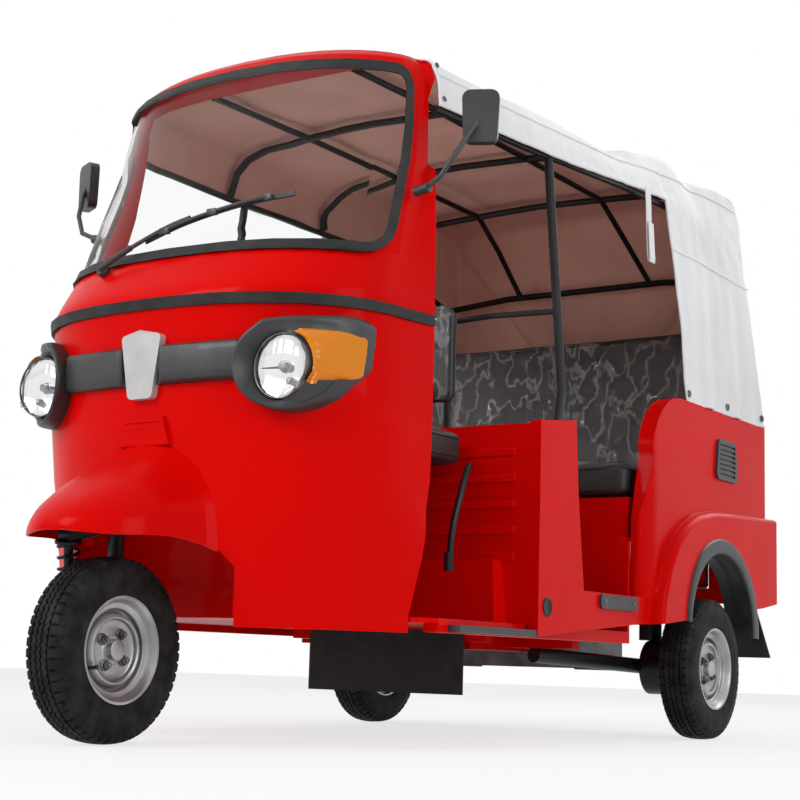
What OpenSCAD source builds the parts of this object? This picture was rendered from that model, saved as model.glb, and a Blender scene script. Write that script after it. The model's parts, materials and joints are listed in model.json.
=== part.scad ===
// Auto rickshaw: enclosed cab front, open sides and a canopy on a tube frame, on three wheels.
// Millimetres, +Z up, front toward -Y, origin on the ground at the middle of the outline.

/* [Wheels and stance] */
// Distance between the front and rear axles
wheelbase = 1920; // [1910:2:1930]
// Place of the front axle along Y
front_axle_y = -1090; // [-1092:1:-1088]
// Distance between the two rear tyre centres
rear_track = 1170; // [1164:2:1172]
// Tyre outer radius
tyre_r = 206; // [204:1:207]
// Tyre section width
tyre_w = 104; // [98:1:106]
// Rim flange radius
rim_r = 115; // [113:1:116]

/* [Body] */
// Thickness of the sheet panels as modelled
skin = 4; // [3:0.5:5]
// Underside of the floor above the ground
floor_z = 288; // [266:1:274]
// Half width of the rear body above its bead
rear_half_w = 606; // [598:1:602]
// Half width of the rear body below its bead
haunch_half_w = 640; // [636:1:644]
// Height of the rear body's top rim
rim_z = 990; // [986:1:994]
// Back of the rear body
tail_y = 1335; // [1333:1:1337]

/* [Canopy] */
// Canopy thickness as modelled
cover_t = 4; // [3:0.5:5]
// Radius of the canopy frame tubes
tube_r = 11; // [9:0.5:12]

/* [Steering] */
// Rake of the steering axis from vertical, degrees
rake = 18; // [17:0.5:19]

/* [Hidden] */

rear_axle_y = front_axle_y + wheelbase;
half_track = rear_track / 2;
red = "#c8141c";
dark = "#2b2c2e";
black = "#161616";
silver = "#b9bcc0";
white = "#e9e8e4";
clear = 1; // overlap of a cutter past the face it cuts

lamp_proud = 22; // depth of the tail lamps behind the body
// The origin lies midway between the front of the tyre and the back of the tail lamps
module placed() translate([0, -(front_axle_y - tyre_r + tail_y + lamp_proud) / 2, 0]) children();

// ---------- helpers ----------
// Evaluates its children as one mesh
module meshed() resize([0, 0, 0]) children();
module mirrored() { children(); mirror([1, 0, 0]) children(); }
// Box from corner a to corner b
module box(a, b) translate(a) cube(b - a);
// Round bar from a to b
module bar(a, b, r) {
    d = b - a;
    translate(a) rotate([0, acos(d.z / norm(d)), atan2(d.y, d.x)]) cylinder(r = r, h = norm(d), $fn = 24);
}
// Extrudes a front-view outline (x, z) from y0 back to y1
module front_cut(y0, y1) translate([0, y1, 0]) rotate([90, 0, 0]) linear_extrude(y1 - y0) children();
// Extrudes a side-view outline (y, z) from x0 to x1
module side_cut(x0, x1) translate([x0, 0, 0]) rotate([90, 0, 90]) linear_extrude(x1 - x0) children();
// Cylinder along X from x0 to x1 about (y, z)
module disc(x0, x1, y, z, r, fn = 64) translate([x0, y, z]) rotate([0, 90, 0])
    cylinder(r = r, h = x1 - x0, $fn = fn);
function lerp(a, b, t) = a + (b - a) * t;
// Row of a table at v, interpolated by its first column
function row_at(table, v, i = 0) =
    i >= len(table) - 2 || v <= table[i + 1][0]
        ? lerp(table[i], table[i + 1], (v - table[i][0]) / (table[i + 1][0] - table[i][0]))
        : row_at(table, v, i + 1);
function arc(cx, cy, r, a0, a1, n) = [for (i = [0 : n]) let(a = lerp(a0, a1, i / n))
    [cx + r * cos(a), cy + r * sin(a)]];
// Closed loft through equal rings, each anticlockwise about the loft's direction
module loft(rings) {
    n = len(rings[0]);
    m = len(rings);
    polyhedron(
        points = [for (r = rings) each r],
        faces = concat(
            [[for (i = [0 : n - 1]) i]],
            [for (k = [0 : m - 2], i = [0 : n - 1]) let(j = (i + 1) % n)
                each [[k * n + i, (k + 1) * n + i, (k + 1) * n + j],
                    [k * n + i, (k + 1) * n + j, k * n + j]]],
            [[for (i = [n - 1 : -1 : 0]) (m - 1) * n + i]]), convexity = 8);
}
// Tube of radius r along a list of points
function unit(v) = v / norm(v);
function heading(p, i) = i == 0 ? unit(p[1] - p[0]) : i == len(p) - 1 ? unit(p[i] - p[i - 1])
    : unit(unit(p[i + 1] - p[i]) + unit(p[i] - p[i - 1]));
function side_of(p, i) = i == 0
    ? let(t = heading(p, 0)) unit(cross(t, abs(t.z) < 0.9 ? [0, 0, 1] : [1, 0, 0]))
    : let(s = side_of(p, i - 1), t = heading(p, i)) unit(s - t * (s * t));
module tube(p, r, sides = 8) loft([for (i = [0 : len(p) - 1])
    let(t = heading(p, i), s = side_of(p, i), u = cross(t, s))
    [for (k = [0 : sides - 1]) p[i] + r * (cos(k * 360 / sides) * s + sin(k * 360 / sides) * u)]]);

// ---------- cab surface ----------
// Each level: height, front y, half width at the corner, depth of the rounded front,
// half width at the rear edge, y of the rear edge
CAB = [
    [264, -1000, 570, 640, 530, -680],
    [300, -1004, 566, 650, 528, -655],
    [388, -1008, 556, 660, 524, -623],
    [480, -1004, 530, 480, 521, -607],
    [620, -992, 505, 325, 520, -588],
    [760, -1008, 508, 318, 520, -585],
    [930, -1014, 505, 330, 520, -585],
    [985, -1030, 502, 338, 519, -585],
    [1010, -1036, 501, 338, 519, -585],
    [1050, -1012, 498, 325, 518, -584],
    [1140, -949, 491, 300, 515, -582],
    [1236, -914, 486, 294, 511, -577],
    [1400, -848, 474, 284, 501, -565],
    [1530, -794, 465, 248, 490, -552],
    [1620, -758, 456, 202, 478, -548],
    [1652, -728, 442, 168, 466, -548],
    [1668, -700, 428, 140, 452, -548]];
front_exp = 2.5;
roof_arch = 30;
arch_z = 1500;
cab_steps = 10;
// Point of the surface at plan angle t (0 at the centre line, 90 at the corner) drawn in by o
function cab_lift(x, z) = roof_arch * (1 - pow(x / 470, 2)) * pow(max(0, (z - arch_z) / 168), 1.3);
function cab_at(t, z, o) = let(r = row_at(CAB, z), x = (r[2] - o) * sign(t) * pow(abs(sin(t)), 2 / front_exp))
    [x, r[1] + o + r[3] * (1 - cos(t)), z + cab_lift(x, z)];
module cab_solid(o) loft([for (r = CAB) let(
    front = [for (i = [-cab_steps : cab_steps]) cab_at(90 * i / cab_steps, r[0], o)],
    back = max(r[5], r[1] + r[3] + o + 6), w = r[4] - o)
    concat(front, [[w, back, r[0]], [w, -250, r[0]], [-w, -250, r[0]], [-w, back, r[0]]])]);

// Rounded outline on the surface: s along the plan angle, z up
deg_mm = 5.06; // millimetres of surface per degree of plan angle at the corners
screen = [74.5 * deg_mm, 1139, 1622]; // half width, bottom, top
screen_r = [66, 42]; // radii of the lower and upper corners
// Rows of the outline grown by g: height and half width
function screen_rows(g) = let(w = screen[0] + g, z0 = screen[1] - g, z1 = screen[2] + g,
    rb = screen_r[0] + g, rt = screen_r[1] + g)
    concat([for (q = arc(w - rb, z0 + rb, rb, -86, 0, 4)) [q.y, q.x]],
        [for (i = [1 : 3]) [lerp(z0 + rb, z1 - rt, i / 4), w]],
           [for (q = arc(w - rt, z1 - rt, rt, 0, 86, 4)) [q.y, q.x]]);
// Piece of the surface inside the outline grown by g, between offsets o1 (outer) and o2 (inner)
module screen_patch(g, o1, o2) {
    rows = screen_rows(g);
    cols = 10;
    function row(r, o, a) = [for (i = [0 : cols])
        cab_at(lerp(-r[1], r[1], (a > 0 ? i : cols - i) / cols) / deg_mm, r[0], o)];
    loft([for (r = rows) concat(row(r, o1, 1), row(r, o2, -1))]);
}

// ---------- cab ----------
well_w = 250; // half width of the front wheel arch
well_z = 600; // top of the wheel arch behind the fender
module cab_shell() color(red) placed() meshed() difference() {
    union() {
        cab_solid(0);
        louvre();
    }
    cab_inside();
    screen_patch(0, -60, 60);
    louvre_slots();
    // open back, below the roof and behind it
    side_cut(-700, 700) polygon(concat([for (r = CAB) [r[5], r[0] < 300 ? 0 : r[0]]],
        [[-548, 1900], [100, 1900], [100, 0]]));
    // wheel arch, wide below the fender and narrow behind it
    front_cut(-1400, -780) polygon([[-well_w, 200], [well_w, 200], [well_w, 395], [205, 446],
        [-205, 446], [-well_w, 395]]);
    box([-150, -1400, 400], [150, -880, well_z - 8]);
}
// Raised panel with slots between the fender and the lamp bar
module louvre() intersection() {
    translate([0, -12, 0]) cab_solid(0);
    front_cut(-1200, -900) polygon([[-78, 672], [78, 672], [62, 738], [-62, 738]]);
}
module louvre_slots() for (i = [0 : 2]) box([-50, -1100, 690 + 15 * i], [50, -1012, 695 + 15 * i]);

// Stations of the fender: y, half width, crest height, lower edge height
FENDER = [
    [-1284, 22, 468, 462],
    [-1281, 44, 479, 457],
    [-1270, 74, 497, 453],
    [-1250, 106, 518, 450],
    [-1220, 134, 543, 449],
    [-1185, 155, 567, 451],
    [-1145, 168, 594, 453],
    [-1100, 178, 621, 454],
    [-1050, 187, 650, 450],
    [-1000, 200, 678, 440],
    [-960, 226, 690, 420],
    [-925, 246, 690, 402],
    [-890, 256, 690, 394]];
module fender_form(o) loft([for (r = FENDER) let(w = r[1] - o, h = r[2] - r[3] - o)
    concat([for (i = [-8 : 8]) let(a = 90 * i / 8)
        [w * sign(a) * pow(abs(sin(a)), 0.86), r[0] + o, r[3] + h * pow(cos(a), 0.95)]],
        [[w, r[0] + o, r[3] - o * 4], [-w, r[0] + o, r[3] - o * 4]])]);
module front_fender() color(red) placed() meshed() difference() {
    fender_form(0);
    fender_form(skin);
    cab_solid(0);
    louvre();
}
module windscreen() color("#9fb3b8", 0.4) placed() meshed() union() { screen_patch(-1, 0, 5); }
module windscreen_seal() color(black) placed() meshed() difference() {
    screen_patch(13, -8, 1);
    screen_patch(-13, -20, 20);
    screen_patch(0, 0, 5);
}
belt = [985, 1010]; // lower and upper edge of the moulding round the cab
module belt_moulding() color(black) placed() meshed() difference() {
    cab_solid(-6);
    cab_solid(0);
    box([-700, -1300, 0], [700, 0, belt[0]]);
    box([-700, -1300, belt[1]], [700, 0, 1900]);
    box([-700, -590, 0], [700, 0, 1900]);
}
lamp = [369, -974, 838]; // centre of the left headlamp's lens
lamp_r = 73;
bezel_depth = 50;
module bezel_outline(g) hull() {
    translate([lamp.x - 3, lamp.z + 5]) circle(r = 104 + g, $fn = 36);
    translate([344, 906]) circle(r = 42 + g, $fn = 24);
    for (q = [[466, 942], [464, 852]]) translate(q) circle(r = 21 + g, $fn = 12);
}
module lamp_outline(g) translate([lamp.x, lamp.z]) circle(r = lamp_r + g, $fn = 36);
module indicator_outline(g) difference() {
    hull() {
        translate([404, 800]) circle(r = 12 + g, $fn = 16);
        translate([392, 918]) circle(r = 16 + g, $fn = 16);
        translate([462, 922]) circle(r = 14 + g, $fn = 16);
        translate([464, 834]) circle(r = 12 + g, $fn = 16);
    }
    lamp_outline(9 - g);
}
// Layer of depth d in front of the cab's surface
module ahead(d) difference() {
    translate([0, -d, 0]) cab_solid(0);
    cab_solid(0);
}
module lamp_bar() color(dark) placed() meshed() difference() {
    union() {
        intersection() {
            ahead(bezel_depth);
            mirrored() front_cut(-1200, -600) bezel_outline(0);
        }
        intersection() {
            ahead(22);
            front_cut(-1200, -900) polygon([[-300, 818], [-230, 812], [230, 812], [300, 818],
                [300, 900], [200, 898],
                                            [-200, 898], [-300, 900]]);
        }
    }
    mirrored() front_cut(-1200, -600) lamp_outline(0);
    difference() {
        mirrored() front_cut(-1200, -600) indicator_outline(0);
        translate([0, -12, 0]) cab_solid(0);
    }
    front_cut(-1200, -900) shield_outline();
}
module headlamps() color("#d9dde0") placed() meshed() difference() {
    mirrored() {
        front_cut(lamp.y, -600) lamp_outline(0);
        translate([lamp.x, lamp.y, lamp.z]) rotate([90, 0, 0])
            cylinder(r1 = lamp_r - 1, r2 = 52, h = 8, $fn = 36);
        translate([lamp.x, lamp.y - 8, lamp.z]) rotate([90, 0, 0])
            cylinder(r1 = 52, r2 = 24, h = 5, $fn = 36);
    }
    cab_solid(0);
}
module indicators() color("#e8830c") placed() meshed() intersection() {
    mirrored() front_cut(-1200, -600) indicator_outline(0);
    difference() {
        translate([0, -bezel_depth - 3, 0]) cab_solid(0);
        translate([0, -12, 0]) cab_solid(0);
    }
}
module shield_outline() hull() {
    translate([0, 928]) circle(r = 10, $fn = 24);
    for (s = [-1, 1]) translate([s * 48, 918]) circle(r = 11, $fn = 24);
    for (s = [-1, 1]) translate([s * 24, 792]) circle(r = 14, $fn = 24);
}
module centre_shield() color("#dfe1e3") placed() meshed() intersection() {
    ahead(20);
    front_cut(-1200, -900) shield_outline();
}
dash_z = [935, 985];
module dashboard() color(dark) placed() meshed() difference() {
    intersection() {
        cab_inside();
        box([-500, -1000, dash_z[0]], [500, -760, dash_z[1]]);
    }
    translate(axis_at(700)) rotate([-rake, 0, 0]) cylinder(r = 36, h = 500, $fn = 32);
}
module wiper() color(black) placed() meshed() difference() {
    union() {
        bar([-200, -920, 1108], [-200, -975, 1118], 11);
        tube([[-200, -972, 1117], [-120, -972, 1152], [0, -966, 1196], [70, -958, 1216]], 5, 8);
        tube([[-60, -968, 1172], [60, -962, 1206], [200, -936, 1238], [320, -886, 1262]], 6, 8);
    }
    cab_solid(0);
}
module mirrors() color(dark) placed() mirrored() meshed() union() {
    bar([498, -652, 1300], [540, -656, 1306], 12);
    tube([[530, -656, 1305], [575, -664, 1325], [606, -650, 1380], [632, -612, 1452],
        [634, -596, 1478]], 6.5, 8);
    translate([636, -588, 1480]) rotate([0, 0, 26]) hull() for (i = [-1, 1], k = [-1, 1])
        translate([24 * i, 0, k * 46]) rotate([90, 0, 0])
            cylinder(r = 19 + 2 * k, h = 26, center = true, $fn = 16);
}

// ---------- floor, partition and seats ----------
floor_t = 12;
deck_z = floor_z + floor_t; // top of the floor
sill_w = 562; // half width of the floor
riser_y = 384; // front of the box that the bench stands on
bench_z = 564; // top of the rear deck
side_x = 568; // inner face of the side panels
part_y = [-196, -172]; // partition, front and back
axis_y = -1000; // steering axis where it passes axis_z
axis_z = 480;
function axis_at(z) = [0, axis_y + (z - axis_z) * tan(rake), z];
module chassis() color(red) placed() meshed() union() {
    // floor of the cab
    difference() {
        intersection() {
            cab_inside();
            box([-700, -1100, floor_z], [700, -650, deck_z]);
        }
        box([-well_w, -1100, 0], [well_w, -782, 400]);
    }
    // floor sheet, riser and rear deck
    linear_extrude_at(floor_z, floor_t) polygon([[-520, -651], [520, -651], [sill_w, -600],
        [sill_w, riser_y + floor_t],
                                                  [-sill_w, riser_y + floor_t], [-sill_w, -600]]);
    box([-sill_w, riser_y, deck_z], [sill_w, riser_y + floor_t, bench_z - floor_t]);
    intersection() {
        box([-700, riser_y, bench_z - floor_t], [700, tail_y - 12, bench_z]);
        rear_form(skin, 60);
    }
    box([-540, riser_y, bench_z - floor_t], [540, body_y + 30, bench_z]);
    // stand under the driver's seat
    box([-240, -545, deck_z], [240, -320, seat_z[0]]);
    // side rails under the door openings, rails and cross members behind the cab
    mirrored() box([520, -600, 268], [sill_w, riser_y + floor_t, floor_z]);
    mirrored() box([200, 60, floor_z - 50], [250, riser_y + floor_t, floor_z]);
    box([-460, 250, floor_z - 40], [460, 290, floor_z]);
    box([-320, 20, floor_z - 30], [320, 60, floor_z]);
}
// Space inside the cab shell
module cab_inside() translate([0, 0, -skin]) cab_solid(skin);
module linear_extrude_at(z, h) translate([0, 0, z]) linear_extrude(h) children();
module wheel_well() color(red) placed() meshed() difference() {
    intersection() {
        well_form(0);
        cab_inside();
    }
    translate([0, 0, -2 * skin]) well_form(skin);
    translate(axis_at(axis_z)) rotate([-rake, 0, 0]) cylinder(r = 34, h = 300, $fn = 48);
}
module well_form(o) intersection() {
    side_cut(-well_w + o, well_w - o) polygon(concat([[-1100, 200], [-782 - o, 200], [-782 - o, floor_z]],
        arc(-980, 400, 198 - o, -20, 80, 8), [[-1100, well_z - o]]));
    box([-700, -1100, floor_z], [700, 0, 900]);
}
head_r = 24;
module steering_head() color(black) placed() difference() {
    union() {
        translate(axis_at(well_z + 8)) rotate([-rake, 0, 0]) cylinder(r = head_r + 6, h = 250, $fn = 48);
        hull() {
            translate(axis_at(well_z + 110)) rotate([-rake, 0, 0]) cylinder(r = head_r + 4, h = 30, $fn = 32);
            box([-60, -900, dash_z[0] - 26], [60, -880, dash_z[0] - 16]);
        }
    }
    translate(axis_at(400)) rotate([-rake, 0, 0]) cylinder(r = head_r, h = 800, $fn = 48);
}
seat_z = [700, 788]; // driver's cushion, underside and top
module driver_seat() color(black) placed() {
    hull() for (x = [-378, 378], y = [-560, -228]) translate([x, y, seat_z[0]])
        cylinder(r = 22, h = seat_z[1] - seat_z[0], $fn = 24);
}
module driver_backrest() color(black) placed() {
    hull() for (x = [-350, 350], z = [880, 1100]) translate([x, -274, z]) rotate([-90, 0, 0])
        cylinder(r = 28, h = 60, $fn = 24);
}
// Tube frame that carries the backrest and guards the driver
guard_y = part_y[0] + 12;
module guard_rail() color(black) placed() meshed() difference() {
    union() {
        mirrored() tube([[310, guard_y, 806], [310, guard_y, 1046], [300, guard_y, 1084],
            [270, guard_y, 1096], [0, guard_y, 1096]], 10, 8);
        mirrored() tube([[305, guard_y, 1090], [420, -150, 1104], [575, -44, 1124]], 8, 8);
        mirrored() tube([[310, guard_y, 1000], [310, -214, 1000]], 8, 8);
    }
    mirrored() door_post();
    mirrored() box([560, -200, 1000], [700, 0, 1300]);
}
bead_z = [470, 550, 630, 710];
module partition() color(red) placed() meshed() difference() {
    union() {
        box([-side_x, part_y[0], deck_z], [side_x, part_y[1], 806]);
        // pressed beads across the front
        for (z = bead_z) mirrored() hull() for (x = [0, 520]) translate([x, part_y[0], z])
            rotate([90, 0, 0]) cylinder(r1 = 13, r2 = 7, h = 5, $fn = 16);
        // cover over the fuel tank at the foot
        mirrored() hull() {
            box([150, part_y[0] - 60, deck_z], [505, part_y[0], deck_z + 20]);
            box([165, part_y[0] - 45, deck_z], [490, part_y[0], deck_z + 160]);
        }
        box([-side_x, part_y[1], 790], [side_x, part_y[1] + 30, 806]);
    }
    box([-side_x + skin, part_y[0] + 8, deck_z + 30], [side_x - skin, part_y[1] + clear, 780]);
}
module side_outline() polygon([[part_y[0], 270], [480, 330], [480, 396], [48, 396], [12, 640],
    [-6, 836], [part_y[0], 812]]);
module side_panels() color(red) placed() meshed() difference() {
    mirrored() side_sheet();
    rear_form(0);
}
module side_sheet() difference() {
    side_cut(side_x, side_x + 30) side_outline();
    side_cut(side_x - clear, side_x + 26) polygon([[part_y[0] + 10, 290], [470, 346], [470, 384], [30, 384],
                                                   [-4, 640], [-20, 815], [part_y[0] + 10, 794]]);
    side_cut(side_x, side_x + 31) translate([-150, 345]) circle(r = 22, $fn = 24);
}
step_bolts = [-480, -270]; // bolt holes of the step plate along Y
step_bolt_r = 4.2;
module sill_trims() color(black) placed() mirrored() {
    difference() {
        box([sill_w, -560, 270], [sill_w + 34, part_y[0], 286]);
        for (y = step_bolts) translate([sill_w + 17, y, 260]) cylinder(r = step_bolt_r, h = 40, $fn = 32);
    }
    side_cut(side_x + 30, side_x + 38) polygon(concat(arc(345, 380, 12, 0, 90, 3),
        arc(147, 380, 12, 90, 180, 3),
        arc(147, 366, 12, 180, 270, 3), arc(345, 366, 12, 270, 360, 3)));
}

// ---------- rear body ----------
arch = [rear_axle_y + 38, 312, 238]; // wheel arch centre y, z and radius
body_y = 412; // foremost edge of the rear body
// Side outline of the rear body, its lower edge let down by drop (y, z)
function body_side(drop) = concat([[body_y, 320 - drop], [body_y + 2, 620], [body_y + 48, 800]],
    arc(642, 800, 190, 172, 92, 6),
    [[706, rim_z], [tail_y, rim_z], [tail_y, 420 - drop], [1200, 400 - drop], [600, 340 - drop]]);
// Edge of the haunch over the wheel (y, z)
haunch_side = [[tail_y + 60, 150], [tail_y + 60, 684], [960, 666], [820, 658], [720, 640], [635, 603],
    [562, 550], [510, 480],
               [474, 390], [458, 300], [450, 150]];
module rear_plan(w, turn) {
    r = 34;
    side = [for (i = [0 : 5]) let(a = 90 * i / 5) [w - turn * (1 - sin(a)), body_y + 70 * (1 - cos(a))]];
    polygon(concat([for (q = side) q], arc(w - r, tail_y - r, r, 0, 90, 5),
        arc(r - w, tail_y - r, r, 90, 180, 5),
                   [for (i = [5 : -1 : 0]) [-side[i].x, side[i].y]]));
}
// Sections of the haunch outward from the side: half width, growth of the outline
haunch_rows = [[300, 17], [rear_half_w, 17], [haunch_half_w - 22, 15], [haunch_half_w - 10, 11],
    [haunch_half_w - 3, 5], [haunch_half_w, -2]];
function grown(p, g) = p + g * unit(p - [900, 260]);
module haunch(g) mirrored() loft([for (h = haunch_rows)
    [for (p = haunch_side) let(q = grown(p, h[1] - g)) [h[0] - g, q.x, q.y]]]);
module rear_form(g, drop = 0) intersection() {
    side_cut(-700, 700) offset(delta = -g) polygon(body_side(drop));
    union() {
        linear_extrude_at(200, 900) offset(delta = -g) rear_plan(rear_half_w, 40);
        intersection() {
            haunch(g);
            linear_extrude_at(200, 900) offset(delta = -g) rear_plan(haunch_half_w + 6, 0);
        }
    }
}
lid = [400, 470, 925]; // half width, lower and upper edge of the opening
module rear_body() color(red) placed() meshed() difference() {
    union() {
        difference() {
            rear_form(0);
            rear_form(skin, 60);
        }
        // ears that hold the lid's hinge pins
        for (x = [-260, 260], s = [-1, 1]) hull() {
            disc(x + 24 * s - 3, x + 24 * s + 3, hinge.x, hinge.y, 8, 24);
            box([x + 24 * s - 3, tail_y - 1, hinge.y - 2], [x + 24 * s + 3, tail_y, hinge.y + 26]);
        }
    }
    box([-556, 300, 250], [556, tail_y - 40, 1100]);
    mirrored() disc(500, 800, arch[0], arch[1], arch[2]);
    front_cut(tail_y - 20, tail_y + 0.5) polygon([[-lid[0], lid[1]], [lid[0], lid[1]], [lid[0], lid[2]],
        [-lid[0], lid[2]]]);
}
lid_gap = 5.5;
hinge = [tail_y + 13, lid[2] + 4]; // y, z of the lid's hinge line
module rear_lid() color(red) placed() union() {
    box([-lid[0] + lid_gap, tail_y - skin, lid[1] + lid_gap], [lid[0] - lid_gap, tail_y, lid[2] - lid_gap]);
    // pressed panel and handle
    box([-300, tail_y, 540], [300, tail_y + 3, 830]);
    box([-60, tail_y, 490], [60, tail_y + 16, 502]);
    for (x = [-260, 260]) {
        box([x - 18, tail_y, lid[2] - 60], [x + 18, tail_y + 3, lid[2] - 12]);
        box([x - 18, tail_y, lid[2] - 18], [x + 18, hinge.x + 3, lid[2] - 12]);
        box([x - 18, hinge.x - 3, lid[2] - 18], [x + 18, hinge.x + 3, hinge.y]);
        disc(x - 18, x + 18, hinge.x, hinge.y, 5, 32);
    }
}
// Rubber lining just inside the wheel arch
module arch_trims() color(black) placed() mirrored() intersection() {
    difference() {
        disc(556, haunch_half_w, arch[0], arch[1], arch[2] - 0.6);
        disc(500, 800, arch[0], arch[1], arch[2] - 5);
        disc(592, 795, arch[0], arch[1], arch[2] - 2.5);
    }
    box([500, 500, arch[1] + 20], [700, 1400, 700]);
}
vent = [975, 842]; // centre y, z
module vent_grilles() color(black) placed() mirrored() difference() {
    side_cut(rear_half_w, rear_half_w + 8) polygon(concat(arc(vent.x + 60, vent.y - 40, 22, -90, 0, 4),
        arc(vent.x + 50, vent.y + 44, 20, 0, 90, 4), arc(vent.x - 50, vent.y + 44, 20, 90, 180, 4),
            arc(vent.x - 60, vent.y - 40, 22, 180, 270, 4)));
    for (i = [-3 : 3]) side_cut(rear_half_w + 3, rear_half_w + 9) translate([vent.x, vent.y + 15 * i])
        polygon([[-62, -4], [62, -4], [62, 4], [-62, 4]]);
}
module tail_lamps() color("#b01010") placed() mirrored() hull() {
    front_cut(tail_y, tail_y + lamp_proud) polygon([[488, 745], [572, 745], [572, 885], [488, 885]]);
    front_cut(tail_y, tail_y + 5) polygon([[482, 738], [578, 738], [578, 892], [482, 892]]);
}
module bench_base() color(red) placed() difference() {
    box([-540, 425, bench_z], [540, 900, 680]);
    box([-530, 435, bench_z - clear], [530, 901, 670]);
}
module bench_cushion() color(black) placed() hull() for (x = [-522, 522], y = [450, 880])
    translate([x, y, 680]) cylinder(r = 30, h = 108, $fn = 24);
module bench_backrest() color(black) placed() hull() for (x = [-516, 516], q = [[948, 700], [1010, 1250]])
    translate([x, q.x, q.y]) sphere(r = 36, $fn = 20);

// ---------- canopy ----------
// Stations: y, crown height, shoulder height, shoulder half width, hem height, hem half width
CANOPY = [
    [-552, 1716, 1672, 460, 1548, 496],
    [-425, 1718, 1670, 466, 1548, 510],
    [-224, 1724, 1679, 470, 1549, 524],
    [42, 1730, 1693, 472, 1557, 544],
    [359, 1730, 1695, 474, 1578, 562],
    [424, 1732, 1708, 474, 1582, 565],
    [513, 1742, 1737, 474, 1587, 568],
    [642, 1748, 1758, 480, 1594, 571],
    [708, 1748, 1765, 490, 1597, 571],
    [753, 1744, 1757, 500, 1599, 570],
    [800, 1736, 1728, 510, 1600, 569],
    [835, 1734, 1720, 514, 1600, 568],
    [935, 1740, 1731, 528, 1600, 564],
    [1055, 1746, 1744, 538, 1600, 560],
    [1160, 1748, 1741, 543, 1600, 557],
    [1360, 1744, 1730, 545, 1600, 556]];
foot_w = 602; // half width at the rear body's rim
function canopy_half(y, o) = let(r = row_at(CANOPY, y), c = r[1] - o, s = r[2] - o, w = r[3] - o * 0.8,
    h = r[5] - o)
    [[0, c], [w * 0.35, lerp(c, s, 0.06)], [w * 0.65, lerp(c, s, 0.35)], [w * 0.86, lerp(c, s, 0.8)],
        [w, s - 6], [lerp(w, h, 0.4), s - 30],
     [lerp(w, h, 0.75), lerp(s, r[4], 0.6)], [h, r[4]]];
function canopy_ring(y, o, foot) = let(h = canopy_half(y, o), n = len(h), low = [foot_w - o, foot])
    [for (p = concat(h, [low], [[-low.x, low.y]], [for (i = [n - 1 : -1 : 1]) [-h[i].x, h[i].y]]))
        [p.x, y, p.y]];
module canopy_solid(o, foot) loft([for (r = CANOPY) canopy_ring(r[0], o, foot)]);
// Side outline of the canopy drawn in by g (y, z)
module canopy_side(g) offset(delta = -g) polygon(concat([[-560, rim_z], [tail_y, rim_z]],
    arc(1175, 1680, 66, 8, 80, 5),
    [[1186, 1810], [-560, 1810]]));
module canopy_cover() color(white) placed() meshed() difference() {
    intersection() {
        canopy_solid(0, rim_z);
        side_cut(-700, 700) canopy_side(0);
    }
    intersection() {
        canopy_solid(cover_t, rim_z);
        side_cut(-700, 700) canopy_side(cover_t);
    }
    box([-foot_w + cover_t, 690, rim_z - clear], [foot_w - cover_t, tail_y - cover_t, rim_z + 12]);
    box([-700, -560, 900], [700, -540, 1640]);
    // open sides below the hem
    side_cut(-700, 700) polygon(concat([[-700, 900], [-700, CANOPY[0][4]]],
        [for (r = CANOPY) if (r[0] < 600) [r[0], r[4]]],
        [[604, 1592], [706, rim_z - clear], [706, 900]]));
    // the cab roof passes under the front edge
    cab_solid(0);
}
// Frame inside the canopy: y, crown height, shoulder height, shoulder half width, side height, side half width
BOWS = [
    [-560, 1694, 1650, 430, 1540, 480],
    [-120, 1704, 1664, 446, 1550, 515],
    [355, 1706, 1668, 450, 1572, 546],
    [850, 1704, 1680, 470, 1590, 552],
    [1300, 1704, 1680, 470, 1590, 552]];
function bow_half(y) = let(r = row_at(BOWS, y))
    [[0, r[1]], [r[3] * 0.5, r[1] - 7], [r[3] * 0.85, lerp(r[1], r[2], 0.6)],
    [r[3], r[2] - 6], [lerp(r[3], r[5], 0.6), r[2] - 40], [r[5], r[4]]];
function bow(y) = let(h = bow_half(y)) concat([for (i = [len(h) - 1 : -1 : 1]) [-h[i].x, y, h[i].y]],
    [for (p = h) [p.x, y, p.y]]);
rail_x = 230;
function rail_at(y) = [rail_x, y, row_at(BOWS, y)[1] - 7];
function hem_at(y) = let(r = row_at(BOWS, y)) [r[5], y, r[4]];
bar_z = 1486; // cross bar of the rear hoop
module door_post() tube([[side_x + 15, -80, 824], [side_x + 14, -60, 900], hem_at(-40)], 12, 10);
module canopy_frame() color(black) placed() meshed() difference() {
    frame_tubes();
    mirrored() side_cut(side_x, side_x + 30) side_outline();
    box([-700, 700, rim_z - 40], [700, 1400, rim_z]);
}
module frame_tubes() {
    for (y = [-120, 355]) tube(bow(y), tube_r);
    tube(concat([[-578, 850, rim_z]], bow(850), [[578, 850, rim_z]]), tube_r);
    tube([[-545, 1170, bar_z - 26], [-300, 1186, bar_z], [300, 1186, bar_z], [545, 1170, bar_z - 26]],
        tube_r);
    mirrored() tube([for (y = [-548, -120, 355, 850]) rail_at(y)], tube_r - 2);
    mirrored() tube([for (y = [-548, -120, 355, 850]) hem_at(y)], tube_r - 1);
    mirrored() tube([rail_at(850), [236, 1000, 1610], [250, 1186, bar_z]], tube_r - 2);
    mirrored() tube([hem_at(850), [548, 1060, 1490], [545, 1170, bar_z - 26], [574, 1290, rim_z]],
        tube_r - 2);
    // posts beside the passenger opening
    mirrored() door_post();
}

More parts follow.
